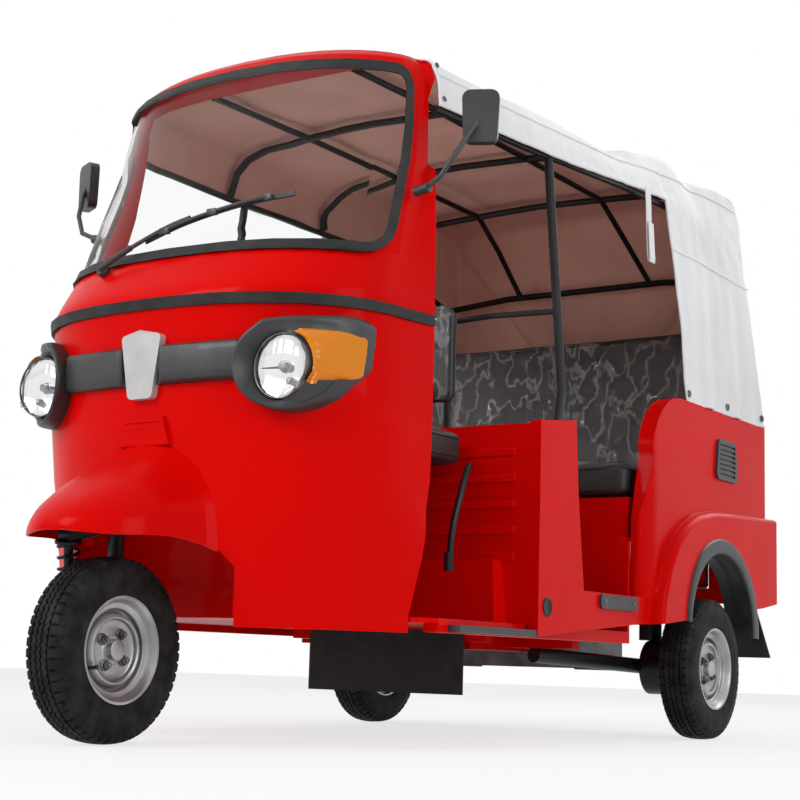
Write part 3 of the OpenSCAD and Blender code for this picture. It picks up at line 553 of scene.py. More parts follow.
def tyre_at(centre):
    """A tyre turned about X, cut into blocks and ribs."""
    half = [(x / 1000, r / 1000) for x, r in TYRE_SECTION]
    profile = half + [(-x, r) for x, r in reversed(half[:-1])]
    piece = turned(profile, centre, (1, 0, 0), steps=BLOCKS * STEPS_PER_BLOCK)
    for corner in piece.data.vertices:
        side = corner.co.x - centre.x
        radius = math.hypot(corner.co.y - centre.y, corner.co.z - centre.z)
        step = round(math.atan2(corner.co.z - centre.z,
                                corner.co.y - centre.y) / (2 * math.pi) * BLOCKS * STEPS_PER_BLOCK)
        phase = step % STEPS_PER_BLOCK
        if 0.006 > abs(side) - 0.020 and radius > 0.198:
            corner.co.x += 0.0016 * (1 if step % 4 < 2 else -1)
        if 0.027 < abs(side) < 0.0458 and radius > 0.187 and phase == 0:
            depth = 0.0062 if abs(side) > 0.030 else 0.003
            corner.co.y -= (corner.co.y - centre.y) / radius * depth
            corner.co.z -= (corner.co.z - centre.z) / radius * depth
        if abs(side) < 0.0045 and radius > 0.2055 and step % 12 in (0,):
            corner.co.y -= (corner.co.y - centre.y) / radius * 0.003
            corner.co.z -= (corner.co.z - centre.z) / radius * 0.003
    return piece

# %% Rim, nuts and valve
RIM_SECTION = [  # mm outboard of the middle plane, mm of radius
    (-44, 113), (-48, 114), (-49, 118.5), (-46, 119.5), (-44, 114.5), (-30, 110), (-22, 98),
    (14, 98), (24, 104), (30, 108), (42, 111), (46, 114.5), (47.5, 119.5), (50.5, 119), (50, 113.5),
    (46, 109.5), (36, 106.5), (31, 103), (29, 97), (28.5, 93), (26.5, 91), (22, 90), (12, 89),
    (11, 87), (12, 84.5), (20, 83), (28, 79), (31.5, 75.5), (32, 72), (30, 68.5), (22, 66),
    (19.5, 62), (19, 50), (20, 34), (22, 31), (22, 24)]
NUT_CIRCLE = 0.0405

def rim_at(centre, outward):
    """Pressed rim with its hub cap, four nuts and valve; outward is +1 or -1 along X."""
    section = [(a / 1000 * outward, r / 1000) for a, r in RIM_SECTION]
    dish = turned(section, centre, (1, 0, 0), steps=96)
    cap = turned([(a * outward, r) for a, r in [(0.014, 0.024), (0.034, 0.0235), (0.037, 0.0225),
                                                (0.0385, 0.018),
                                                (0.0388, 0.0)]], centre, (1, 0, 0), steps=32)
    steel = joined([dish, cap])
    nuts = []
    for turn in range(4):
        angle = math.radians(45 + 90 * turn + 12)
        place = Vector(centre) + Vector((0.019 * outward, NUT_CIRCLE * math.cos(angle),
                                         NUT_CIRCLE * math.sin(angle)))
        seat = turned([(0, 0.0135), (0.004 * outward, 0.0128), (0.005 * outward, 0.011)], place,
                      (1, 0, 0), steps=24)
        nut = turned([(0.0045 * outward, 0.0098), (0.012 * outward, 0.0098), (0.0135 * outward, 0.0088),
                      (0.0135 * outward, 0.0)], place, (1, 0, 0), steps=6)
        stud = turned([(0.013 * outward, 0.0052), (0.0185 * outward, 0.0052), (0.0195 * outward, 0.004),
                       (0.0195 * outward, 0.0)], place, (1, 0, 0), steps=16)
        nuts += [seat, nut, stud]
    stem = [Vector(centre) + Vector((x * outward, y, z)) for x, y, z in
            [(0.026, -0.088, -0.042), (0.036, -0.084, -0.040), (0.048, -0.080, -0.0385)]]
    valve_cap = [stem[2], stem[2] + Vector((0.0045 * outward, 0.001, 0))]
    valve = joined([piped(stem, 0.0042), piped(valve_cap, 0.0052)])
    return steel, joined(nuts), valve

# %% Put a wheel in each place
WHEELS = {"front": ("front_wheel", 1), "rear_left": ("rear_left_wheel", 1),
          "rear_right": ("rear_right_wheel", -1)}
for wheel, (body, outward) in WHEELS.items():
    low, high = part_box(wheel + "_tyre")
    centre = (low + high) / 2
    handed_over(tyre_at(centre), wheel + "_tread_tyre", [tyre_rubber], body, [wheel + "_tyre"],
                angle=28)
    steel, nuts, valve = rim_at(centre, outward)
    handed_over(steel, wheel + "_pressed_rim", [wheel_silver], body, [wheel + "_rim"],
                angle=30)
    handed_over(nuts, wheel + "_nuts", [dark_steel], body, angle=30)
    handed_over(valve, wheel + "_valve", [seal_rubber], body)
print("three wheels,", BLOCKS, "blocks on each shoulder")

# %% [markdown]
# ## Lamps and their mouldings
# A dark moulding runs across the front and swells into a hooded bezel round each headlamp. Seen
# from the lamp's centre, the bezel is a set of rings: out at its foot it follows a rounded
# outline on the cab, it rises to a soft crest, and it falls into a cone that ends at the glass.
# The rings are a grid whose corners are moved by formula, because no single primitive bends
# that way. The lamp itself is a turned bowl, a bulb and a turned front glass.

# %% Front surface of the cab
def cab_front(x, z):
    """Y of the cab's outer surface straight ahead of (x, z), in metres."""
    place, _ = struck("cab_shell", (x, -2, z), (0, 1, 0))
    return place.y if place else None

LAMP = at(369, -974, 838)
LENS_RADIUS = 0.073
BEZEL_CORNERS = [(0.366, 0.843, 0.104), (0.344, 0.906, 0.042), (0.466, 0.942, 0.021),
                 (0.464, 0.852, 0.021)]  # x, z, radius
BLINKER_CORNERS = [(0.420, 0.812, 0.012), (0.404, 0.902, 0.022), (0.468, 0.908, 0.018),
                   (0.470, 0.834, 0.014)]

def reach(corners, angle):
    """Distance from the lamp's centre to the taut outline round some circles, in one direction."""
    best = 9.0
    for k in range(-44, 45):
        turn = angle + math.radians(2 * k)
        nx, nz = math.cos(turn), math.sin(turn)
        support = max((x - LAMP.x) * nx + (z - LAMP.z) * nz + r for x, z, r in corners)
        best = min(best, support / max(math.cos(turn - angle), 1e-6))
    return best

def polar_sheet(name, rings, turns, place):
    """A closed band of faces whose corner (ring, turn) is put where place(ring, turn) says."""
    deselect()
    bpy.ops.mesh.primitive_grid_add(x_subdivisions=turns, y_subdivisions=rings - 1, size=1)
    piece = bpy.context.object
    piece.name = name
    for corner in piece.data.vertices:
        turn = round((corner.co.x + 0.5) * turns)
        ring = round((corner.co.y + 0.5) * (rings - 1))
        corner.co = place(ring, turn)
    return cleaned(piece, 0.00001)

# %% Bezels
TURNS = 144
# share of the way from the outer edge to the glass, height above the cab in mm, or depth
# behind the crest
CREST = [(0.0, -1), (0.0, 12), (0.01, 24), (0.04, 36), (0.09, 44), (0.16, 49), (0.26, 52), (0.36, 53),
         (0.44, 51)]

def bezel_place(ring, turn):
    angle = 2 * math.pi * turn / TURNS
    outer = reach(BEZEL_CORNERS, angle)
    inner = LENS_RADIUS + 0.001
    lens_y = LAMP.y + 0.004
    if ring < len(CREST):
        share, height = CREST[ring]
        radius = outer + (inner + 0.006 - outer) * share
        x, z = LAMP.x + radius * math.cos(angle), LAMP.z + radius * math.sin(angle)
        y = (cab_front(x, z) or LAMP.y) - height / 1000
        return Vector((x, y, z))
    share = (ring - len(CREST) + 1) / 4
    crest = bezel_place(len(CREST) - 1, turn)
    radius = math.hypot(crest.x - LAMP.x, crest.z - LAMP.z)
    radius += (inner - radius) * share ** 0.8
    depth = crest.y + (lens_y - crest.y) * share ** 1.1
    return Vector((LAMP.x + radius * math.cos(angle), depth, LAMP.z + radius * math.sin(angle)))

bezel = polar_sheet("bezel", len(CREST) + 4, TURNS, bezel_place)
modified(bezel, "SOLIDIFY", thickness=0.003, offset=-1)
bezels = [bezel, mirrored_copy(bezel)]

# %% Bar between the bezels
BAR_HALF = 0.262
BAR_ROWS = [(0, 812), (8, 812.5), (17, 815), (22, 820), (23.5, 836), (24, 860), (23.5, 880), (22, 894),
            (17, 898.5), (8, 900), (0, 900)]
SHIELD_BED = 9  # mm, where the shield lies on the bar
columns = 84

def bar_corner(row, column):
    height, z = BAR_ROWS[row]
    x = BAR_HALF * (2 * column / columns - 1)
    if abs(x) < 0.061:
        height = min(height, SHIELD_BED)
    z = z / 1000 + 0.004 * (x / BAR_HALF) ** 4
    return Vector((x, cab_front(x, z) - height / 1000 + (0.002 if height == 0 else 0), z))

deselect()
bpy.ops.mesh.primitive_grid_add(x_subdivisions=columns, y_subdivisions=len(BAR_ROWS) - 1, size=1)
front_bar = bpy.context.object
for corner in front_bar.data.vertices:
    corner.co = bar_corner(round((corner.co.y + 0.5) * (len(BAR_ROWS) - 1)),
                           round((corner.co.x + 0.5) * columns))
modified(front_bar, "SOLIDIFY", thickness=0.003, offset=0)
moulding = joined(bezels + [front_bar])
handed_over(moulding, "lamp_moulding", [grained_plastic], "body", ["lamp_bar"],
            angle=42)
print("bezel crest", CREST[7][1], "mm proud of the cab")

# %% Bowl, bulb and front glass
BOWL = [(0.006, 0.0725), (0.008, 0.068), (0.0125, 0.056), (0.0155, 0.042), (0.0170, 0.026),
        (0.0175, 0.012), (0.0175, 0.0)]
GLASS = [(0.008, 0.0735), (0.0, 0.0728), (-0.006, 0.069), (-0.011, 0.058), (-0.0145, 0.040),
         (-0.016, 0.020), (-0.0164, 0.0)]
behind = Vector((0, 1, 0))
bowl = turned(BOWL, LAMP, behind, 64)
ring = turned([(0.010, 0.0728), (-0.003, 0.0745), (-0.0055, 0.0738), (-0.005, 0.0715), (0.004, 0.0700)],
              LAMP, behind, 64)
bulb_cap = turned([(0.0176, 0.015), (0.0150, 0.0145), (0.0135, 0.011), (0.002, 0.010), (0.0, 0.008),
                   (-0.001, 0.0)], LAMP, behind, 24)
side_bulb = turned([(0.0165, 0.0085), (0.006, 0.0080), (0.003, 0.0065), (0.002, 0.0)],
                   LAMP + Vector((0.018, 0, -0.034)), behind, 20)
bar_across = block(LAMP + Vector((-0.066, 0.010, -0.0012)), LAMP + Vector((-0.010, 0.013, 0.0012)),
                   0.0005, 1)
glass = turned(GLASS, LAMP, behind, 64)
modified(glass, "SOLIDIFY", thickness=0.0022, offset=-1)
cleaned(glass)
lamp_parts = [bowl, ring, bulb_cap, side_bulb, bar_across, glass]
other_parts = [mirrored_copy(part) for part in lamp_parts]
for suffix, parts in (("left", lamp_parts), ("right", other_parts)):
    handed_over(parts[0], "reflector_" + suffix, [chromed], "body")
    handed_over(joined([parts[1], parts[4]]), "lamp_ring_" + suffix, [dark_steel], "body")
    handed_over(joined([parts[2], parts[3]]), "bulb_cap_" + suffix, [wheel_silver], "body")
    handed_over(parts[5], "lamp_glass_" + suffix, [lamp_glass], "body",
                ["headlamps"] if suffix == "left" else [])
print("headlamps", round(2 * LENS_RADIUS * 1000), "mm across")

# %% [markdown]
# ### Amber blinkers
# The blinker fills the outer upper corner of each bezel and laps round the headlamp. It is a
# band of the same rings, from the glass out to its own rounded outline, swollen in the middle.

# %% Blinkers
BLINK_RINGS, BLINK_TURNS = 9, 60
START, END = math.radians(-30), math.radians(66)

def blinker_place(ring, turn):
    angle = START + (END - START) * turn / BLINK_TURNS
    outer = max(reach(BLINKER_CORNERS, angle) + 0.002, LENS_RADIUS + 0.0075)
    inner = LENS_RADIUS + 0.0065
    share = ring / (BLINK_RINGS - 1)
    radius = inner + (outer - inner) * share
    x, z = LAMP.x + radius * math.cos(angle), LAMP.z + radius * math.sin(angle)
    edge = reach(BLINKER_CORNERS, angle) + 0.002
    far_y = (cab_front(LAMP.x + edge * math.cos(angle),
                       LAMP.z + edge * math.sin(angle)) or LAMP.y) - 0.047
    y = LAMP.y - 0.003 + (far_y - LAMP.y
                          + 0.003) * share - 0.007 * math.sin(math.pi * min(max(share, 0), 1)) ** 0.6
    if ring in (0, BLINK_RINGS - 1):
        y += 0.012
    return Vector((x, y, z))

deselect()
bpy.ops.mesh.primitive_grid_add(x_subdivisions=BLINK_TURNS, y_subdivisions=BLINK_RINGS - 1, size=1)
blinker = bpy.context.object
for corner in blinker.data.vertices:
    corner.co = blinker_place(round((corner.co.y + 0.5) * (BLINK_RINGS - 1)),
                              round((corner.co.x + 0.5) * BLINK_TURNS))
cleaned(blinker, 0.0003)
modified(blinker, "SOLIDIFY", thickness=0.012, offset=-1)
blinkers = joined([blinker, mirrored_copy(blinker)])
handed_over(blinkers, "amber_blinkers", [amber_lens], "body", ["indicators"], angle=50)

# %% [markdown]
# ## The hood
# The hood is one coated cloth, white outside and brown inside. It is stretched over three bows,
# runs on past the last bow, turns down over the back and closes the rear quarters. Over each
# door it ends in a hem. One grid makes it: its rows run across from rim to rim, over the crown,
# and its columns run from the front edge to the tail and then down the back to the middle of
# the rim. The sag between the bows, the swell over the tail, the gathers and the long drape
# folds are all offsets added to that surface. The part below the hem beside the doors is cut out.

# %% Sections of the hood
HOOD = [  # station, crown, shoulder, shoulder's half width, hem, hem's half width, all mm
    (-552, 1716, 1672, 460, 1548, 496), (-425, 1718, 1670, 466, 1548, 510),
    (-224, 1724, 1679, 470, 1549, 524), (42, 1730, 1693, 472, 1557, 544),
    (359, 1730, 1695, 474, 1578, 562), (424, 1732, 1708, 474, 1582, 565),
    (513, 1742, 1737, 474, 1587, 568), (642, 1748, 1758, 480, 1594, 571),
    (708, 1748, 1765, 490, 1597, 571), (753, 1744, 1757, 500, 1599, 570),
    (800, 1736, 1728, 510, 1600, 569), (835, 1734, 1720, 514, 1600, 568),
    (935, 1740, 1731, 528, 1600, 564), (1055, 1746, 1744, 538, 1600, 560),
    (1160, 1748, 1741, 543, 1600, 557), (1360, 1744, 1730, 545, 1600, 556)]
RIM, FOOT = 992, 601  # height of the rear body's rim, half width of the hood there
BOWS = [-552, -120, 355, 850, 1180]
HEM_SHARE = 0.62  # share of a row's half at which the hem of the doors lies
CURTAIN = 604  # station where the rear quarter begins at the hem

def section(station):
    """Corners of half a section, from the crown to the rim: x and z in mm."""
    row = next((k for k in range(len(HOOD) - 2) if station <= HOOD[k + 1][0]), len(HOOD) - 2)
    first, second = HOOD[row], HOOD[row + 1]
    t = (station - first[0]) / (second[0] - first[0])
    t = max(t, 0)
    _, crown, shoulder, wide, hem, out = [a + (b - a) * t for a, b in zip(first, second)]
    return [(0, crown), (wide * 0.35, crown + (shoulder - crown) * 0.06),
            (wide * 0.65, crown + (shoulder - crown) * 0.35),
            (wide * 0.86, crown + (shoulder - crown) * 0.8), (wide, shoulder - 6),
            (wide + (out - wide) * 0.4, shoulder - 30),
            (wide + (out - wide) * 0.75, shoulder + (hem - shoulder) * 0.6), (out, hem), (FOOT, RIM)]

def along_section(station, share):
    """Point at a share of half the section: 0 is the crown, HEM_SHARE the hem, 1 the rim."""
    corners = section(station)
    if share >= HEM_SHARE:
        t = (share - HEM_SHARE) / (1 - HEM_SHARE)
        (x0, z0), (x1, z1) = corners[-2], corners[-1]
        return x0 + (x1 - x0) * t, z0 + (z1 - z0) * t
    upper = corners[:-1]
    steps = [math.dist(a, b) for a, b in zip(upper, upper[1:])]
    way = share / HEM_SHARE * sum(steps)
    for k, step in enumerate(steps):
        if way <= step or k == len(steps) - 1:
            break
        way -= step
    t = min(way / steps[k], 1)
    before = upper[k - 1] if k else (-upper[1][0], upper[1][1])
    after = upper[k + 2] if k + 2 < len(upper) else (2 * upper[-1][0] - upper[-2][0],
                                                     2 * upper[-1][1] - upper[-2][1])
    a, b = upper[k], upper[k + 1]
    return tuple(0.5 * (2 * q + (r - p) * t + (2 * p - 5 * q + 4 * r - s) * t * t
                        + (3 * q - p - 3 * r + s) * t ** 3)
                 for p, q, r, s in zip(before, a, b, after))

def tail_station(z):
    """Station of the sloping back at a height."""
    slope = 1335 + (z - RIM) * (1242 - 1335) / (1690 - RIM)
    rounding = 0 if z < 1680 else 60 * (1 - math.sqrt(max(1 - ((z - 1680) / 72) ** 2, 0)))
    return slope - rounding

# %% One corner of the hood
# cells across the hood, along its roof, round its tail edge and down its back
ACROSS, ALONG, TURN, DOWN = 132, 118, 6, 22
EDGE = 42  # mm of cloth in the turn over the tail
FRONT = -552
SPLIT = round(ALONG * (CURTAIN - FRONT) / (1250 - FRONT))  # row at which the rear quarter begins

def swell(station, share, side):
    """Offset outward in mm: sag between bows, gathers under the tail seam and drape folds."""
    out = 0.0
    for a, b in zip(BOWS, BOWS[1:]):
        if a < station < b and b < 900:
            out -= 5.5 * math.sin(math.pi * (station - a) / (b - a)) ** 2 * max(0,
                                                                                1 - (share / 0.5) ** 4)
    if share > HEM_SHARE * 0.9 and station > CURTAIN - 10:
        low = min(max((share - 0.70) / 0.30, 0), 1)
        fold = math.sin(station / 33 + 1.3 * side) + 0.6 * math.sin(station / 17.5 + 2 * share + side)
        out += low ** 0.7 * (6.5 * fold + 3)
        band = math.exp(-((share - 0.665) / 0.035) ** 2)
        out += band * 2.8 * math.sin(station / 5.2) * min(max((station - 700) / 150, 0), 1)
    if share > 0.45 and station < CURTAIN:
        out += 5 * math.exp(-((share - 0.555) / 0.035) ** 2)
    crumple = 3.0 * noise.noise(Vector((station / 90, share * 9, side * 3)))
    crumple += 2.0 * noise.noise(Vector((station / 31, share * 26, side)))
    near_front = min(max((station + 500) / 160, 0), 1)
    out += crumple * near_front * (0.55 if share < 0.5 else 1) + (1.5 if share < 0.5 else 0)
    return out

def side_point(station, share, side):
    x, z = along_section(station, share)
    before, after = along_section(station,
                                  max(share - 0.01, 0)), along_section(station, min(share + 0.01, 1))
    normal = Vector((after[1] - before[1], 0, before[0] - after[0]))
    normal = Vector((-normal.x, 0, -normal.z)).normalized() if normal.length else Vector((0, 0, 1))
    offset = swell(station, share, side)
    return Vector((side * (x + normal.x * offset), station, z + normal.z * offset))

def hood_place(row, column):
    side = 1 if column >= ACROSS / 2 else -1
    share = abs(column - ACROSS / 2) / (ACROSS / 2)
    edge_z = along_section(1250, share)[1]
    last = tail_station(edge_z)
    lean = max(0, (share - HEM_SHARE) / (1 - HEM_SHARE)) * 102
    if row <= ALONG:
        end = last - EDGE
        if row <= SPLIT:
            station = FRONT + (CURTAIN - FRONT) * row / SPLIT + (lean if row == SPLIT else 0)
        else:
            station = CURTAIN + lean + (end - CURTAIN - lean) * (row - SPLIT) / (ALONG - SPLIT)
        return side_point(station, share, side)
    start, corner = side_point(last - EDGE, share, side), side_point(last, share, side)
    foot = Vector((0, 1335, RIM))
    toward = (foot - corner).normalized()
    target = corner + toward * EDGE
    if row <= ALONG + TURN:
        t = (row - ALONG) / TURN
        return start * (1 - t) ** 2 + corner * 2 * t * (1 - t) + target * t * t
    t = (row - ALONG - TURN) / DOWN
    point = target + (foot - target) * t
    angle = math.atan2(point.x, point.z - RIM + 40)
    gathers = 5 * math.sin(angle * 13) * math.sin(math.pi * min(t, 1)) ** 0.6
    point.y += gathers + 3 * noise.noise(point / 60)
    point.y = min(point.y, tail_station(point.z) + 6)
    return point

# %% Weave the hood
deselect()
cells = ALONG + TURN + DOWN
bpy.ops.mesh.primitive_grid_add(x_subdivisions=ACROSS, y_subdivisions=cells, size=1)
hood = bpy.context.object
place_of = {}
for corner in hood.data.vertices:
    column, row = round((corner.co.x + 0.5) * ACROSS), round((corner.co.y + 0.5) * cells)
    place_of[corner.index] = (row, column)
for corner in hood.data.vertices:
    corner.co = at(*hood_place(*place_of[corner.index]))
edit_all(hood)
bpy.ops.mesh.select_all(action="DESELECT")
shape = bmesh.from_edit_mesh(hood.data)
for face in shape.faces:
    rows = [place_of[v.index][0] for v in face.verts]
    shares = [abs(place_of[v.index][1] - ACROSS / 2) / (ACROSS / 2) for v in face.verts]
    face.select_set(max(rows) <= SPLIT and min(shares) >= HEM_SHARE - 0.002)
bmesh.update_edit_mesh(hood.data)
bpy.ops.mesh.delete(type="FACE")
bpy.ops.mesh.select_all(action="SELECT")
bpy.ops.mesh.remove_doubles(threshold=0.0004)
back_to_object()
top = max(hood.data.polygons, key=lambda face: face.center.z)
if top.normal.z < 0:
    edit_all(hood)
    bpy.ops.mesh.flip_normals()
    back_to_object()
hood.data.materials.append(hood_cloth)
hood.data.materials.append(hood_liner)
modified(hood, "SOLIDIFY", thickness=0.0022, offset=-1, material_offset=1)

# %% [markdown]
# ### Seams, hems and straps of the hood
# Each seam is a thin cord sewn under a fold of cloth, so it stands out as a small pipe. The pipes
# follow the same section formula as the hood itself. A strap with a loop hangs from the hem, to
# tie the rolled curtain, and the hem is pulled down to the rim with a lace through eyelets.

# %% Seams and hems
def seam_line(share, first, last, side, lift=1.2, steps=90):
    points = []
    for k in range(steps + 1):
        station = first + (last - first) * k / steps
        station = min(station, tail_station(along_section(station, share)[1]) - EDGE * 0.4)
        point = side_point(station, share, side)
        before, after = along_section(station,
                                      max(share - 0.01, 0)), along_section(station,
                                                                           min(share + 0.01, 1))
        normal = Vector((before[1] - after[1], 0, after[0] - before[0])).normalized()
        points.append(at(point.x + side * normal.x * lift, point.y, point.z + normal.z * lift))
    return points

seams = []
for side in (1, -1):
    seams.append(piped(seam_line(HEM_SHARE, FRONT, CURTAIN - 2, side, 0.5, 120), 0.0042, 2))
    seams.append(piped(seam_line(0.535, FRONT, 1190, side, 1.0, 150), 0.0028, 1))
    seams.append(piped(seam_line(0.715, CURTAIN + 32, 1262, side, 1.0, 150), 0.0028, 1))
    front_edge = [hood_place(SPLIT,
                             ACROSS / 2 + side * ACROSS / 2 * (HEM_SHARE + (1 - HEM_SHARE) * k / 24))
                             for k in range(25)]
    seams.append(piped([at(*p) for p in front_edge], 0.0036, 2))
    seams.append(piped(seam_line(1.0, CURTAIN + 104, 1292, side, 0.5, 60), 0.0045, 2))
seams.append(piped([at(x, 1336, RIM + 2) for x in range(-560, 561, 40)], 0.0045, 2))
across = [at(*side_point(FRONT + 4, abs(s) / 40 * HEM_SHARE, 1 if s > 0 else -1))
          for s in range(-40, 41)]
seams.append(piped(across, 0.0034, 2))
hems = joined(seams)
handed_over(hems, "hood_seams", [hood_cloth], "body")

# %% Strap with a loop, snap buttons and eyelets
def band(points, width_way, width, thick):
    """A flat strap along the points."""
    half = Vector(width_way) * (width / 2)
    piece = traced([Vector(p) - half for p in points])
    edit_all(piece)
    bpy.ops.mesh.extrude_region_move(TRANSFORM_OT_translate={"value": half * 2})
    back_to_object()
    modified(piece, "SOLIDIFY", thickness=thick, offset=0)
    return cleaned(piece)

strap_top = at(583, 452, 1585)
drop = [strap_top + Vector(p) for p in smooth_line([(0, 0, 0), (0.002, 0.001, -0.05), (0.004, 0, -0.11),
                                                    (0.005, 0.002, -0.17),
        (0.007, 0.004, -0.212), (0.011, 0.004, -0.222), (0.0145, 0.003, -0.214), (0.0125, 0.001, -0.16),
        (0.010, 0, -0.105)], 5)]
strap = band(drop, (0, 1, 0), 0.034, 0.0022)
strap_right = mirrored_copy(strap)
handed_over(joined([strap, strap_right]), "hood_straps", [hood_cloth], "body")
buttons = []
for side in (1, -1):
    for station, share in [(-532, 0.50), (-532, 0.60)]:
        point = side_point(station, share, side)
        dome = turned([(0, 0.0075), (0.002, 0.007), (0.0036, 0.005), (0.0042, 0.0)],
                      at(point.x + side * 1.5, point.y, point.z + 1), (side, 0, 0.5), 20)
        buttons.append(dome)
    for station in (714, 1000, 1270):
        point = side_point(station, 0.985, side)
        buttons.append(turned([(-0.001, 0.011), (0.0025, 0.011), (0.003, 0.009), (0.0025, 0.0062),
                               (-0.001, 0.006)],
                              at(point.x + side * 2.5, point.y, point.z), (side, 0, 0), 24))
handed_over(joined(buttons), "hood_buttons", [dark_steel], "body")
handed_over(hood, "hood_cover", [hood_cloth, hood_liner], "body", ["canopy_cover"],
            angle=60)

# %% [markdown]
# ### Roof of the cab
# A pressed red panel closes the cab on top. It starts at the upper edge of the cab's front,
# rises with a light crown and slides under the front edge of the hood. Its lower edge follows
# the cab's own surface, found by looking at the cab from ahead at many places, and its upper
# edge follows the first section of the hood, so a grid between the two fits both.

# %% Roof panel
ROOF_HALF, ROOF_EDGE_Z = 0.451, 1.6655
ROOF_ACROSS, ROOF_ALONG = 60, 10
hood_front = [along_section(FRONT, HEM_SHARE * k / 200) for k in range(201)]

def roof_place(row, column):
    x = ROOF_HALF * (2 * column / ROOF_ACROSS - 1)
    start_y = cab_front(x, ROOF_EDGE_Z)
    start = Vector((x, start_y if start_y and start_y < at(0, -556, 0).y else at(0, -556, 0).y,
                    ROOF_EDGE_Z))
    under_hood = min(hood_front,
                     key=lambda corner: abs(corner[0] / 1000 - abs(x)) + (0 if corner[1] > 1660 else 1))
    end = Vector((x, at(0, -540, 0).y, under_hood[1] / 1000 - 0.0035))
    share = row / ROOF_ALONG
    point = start.lerp(end, share)
    point.z += 0.007 * math.sin(math.pi * share) * (1 - (x / ROOF_HALF) ** 4)
    return point

deselect()
bpy.ops.mesh.primitive_grid_add(x_subdivisions=ROOF_ACROSS, y_subdivisions=ROOF_ALONG, size=1)
roof = bpy.context.object
for corner in roof.data.vertices:
    corner.co = roof_place(round((corner.co.y + 0.5) * ROOF_ALONG),
                           round((corner.co.x + 0.5) * ROOF_ACROSS))
modified(roof, "SOLIDIFY", thickness=0.0015, offset=-1)
handed_over(roof, "cab_roof", [red_enamel], "body", angle=60)
print("roof panel", round(2 * ROOF_HALF, 2), "m wide")

# %% [markdown]
# ## Seats
# Four upholstered pads: the driver's seat and backrest, and the passengers' bench and backrest.
# Each is foam in a black vinyl cover, so it is crowned in the middle and pulled in along its
# seams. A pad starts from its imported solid, made a little smaller. It is remeshed into even
# squares, blown up by a cloth simulation with pressure and no gravity, held to a largest move,
# and subdivided once. Seam cords and sewn channels are pressed in afterwards. A new vehicle still
# wears the clear film that it was delivered in, which lies over the pads in sharp small creases.

# %% A pad from its solid
PADS = {  # node: (voxel, how much smaller to start, largest move) in metres
    "driver_seat": (0.009, 0.009, 0.011), "driver_backrest": (0.009, 0.007, 0.012),
    "bench_cushion": (0.012, 0.012, 0.014), "bench_backrest": (0.012, 0.010, 0.012),
}

def stuffed(node):
    """A pad blown up inside the box of its solid."""
    voxel, smaller, most = PADS[node]
    piece = frame["nodes"][node].copy()
    piece.data = frame["nodes"][node].data.copy()
    piece.parent = None
    scene.collection.objects.link(piece)
    cleaned(piece)
    low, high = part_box(node)
    middle, size = (low + high) / 2, high - low
    for corner in piece.data.vertices:
        corner.co = Vector([m + (c - m) * (1 - 2 * smaller / s) for c, m,
                            s in zip(corner.co, middle, size)])
    modified(piece, "REMESH", mode="VOXEL", voxel_size=voxel)
    before = [corner.co.copy() for corner in piece.data.vertices]
    hold(piece)
    cloth = piece.modifiers.new("stuffing", "CLOTH")
    cloth.settings.quality = 4
    cloth.settings.use_pressure = True
    cloth.settings.uniform_pressure_force = 4
    cloth.settings.effector_weights.gravity = 0
    for number in range(1, 21):
        scene.frame_set(number)
    bpy.ops.object.modifier_apply(modifier=cloth.name)
    scene.frame_set(1)
    for corner, place in zip(piece.data.vertices, before):
        move = corner.co - place
        corner.co = place + move * (min(most / move.length, 1) if move.length else 1)
    return piece

def creased(piece, across, pitch, depth, side):
    """Sewn channels: shallow grooves pressed into the faces that look toward side."""
    for corner in piece.data.vertices:
        facing = max(corner.normal.dot(side), 0)
        groove = math.exp(-((((corner.co[across] / pitch) % 1) - 0.5) / 0.09) ** 2)
        corner.co -= corner.normal * depth * groove * facing

def seam_cord(piece, loop, radius=0.0028):
    """A cord sewn round the pad along the points of its surface nearest to loop."""
    mesh = piece.data
    tree = BVHTree.FromPolygons([v.co for v in mesh.vertices], [f.vertices[:] for f in mesh.polygons])
    points = [tree.find_nearest(Vector(p))[0] for p in loop]
    return piped(points + points[:1], radius, 2)

def ring_round(low, high, level, axis, inset=0.0, steps=14):
    """Rounded loop round a box at a level on one axis."""
    first, second = [k for k in range(3) if k != axis]
    points = []
    for k in range(steps * 4):
        angle = 2 * math.pi * k / (steps * 4)
        a, b = math.cos(angle), math.sin(angle)
        grow = max(abs(a), abs(b)) * 0.9 + 0.1
        point = [0.0, 0.0, 0.0]
        point[axis] = level
        point[first] = (low[first]
                        + high[first]) / 2 + a / grow * ((high[first] - low[first]) / 2 - inset)
        point[second] = (low[second]
                         + high[second]) / 2 + b / grow * ((high[second] - low[second]) / 2 - inset)
        points.append(point)
    return points

# %% Four pads
FACE_OF = {"driver_seat": (2, Vector((0, 0, 1))), "bench_cushion": (2, Vector((0, 0, 1))),
           "driver_backrest": (1, Vector((0, -1, 0))), "bench_backrest": (1, Vector((0, -1, 0)))}
pads = {}
for node, (axis, facing) in FACE_OF.items():
    pad = stuffed(node)
    low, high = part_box(node)
    if "bench" in node:
        creased(pad, 0, 0.36, 0.006, facing)
    modified(pad, "SUBSURF", levels=1, render_levels=1)
    level = high[axis] - 0.018 if facing[axis] > 0 else low[axis] + 0.018
    other = low[axis] + 0.02 if facing[axis] > 0 else high[axis] - 0.02
    cords = [seam_cord(pad, ring_round(low, high, place, axis)) for place in (level, other)]
    pads[node] = handed_over(pad, node + "_pad", [seat_vinyl], BODY_OF[node], [node],
                             angle=60)
    handed_over(joined(cords), node + "_cord", [seal_rubber], BODY_OF[node])
print("pads:", ", ".join(f"{name} {len(pad.data.polygons)} faces" for name, pad in pads.items()))

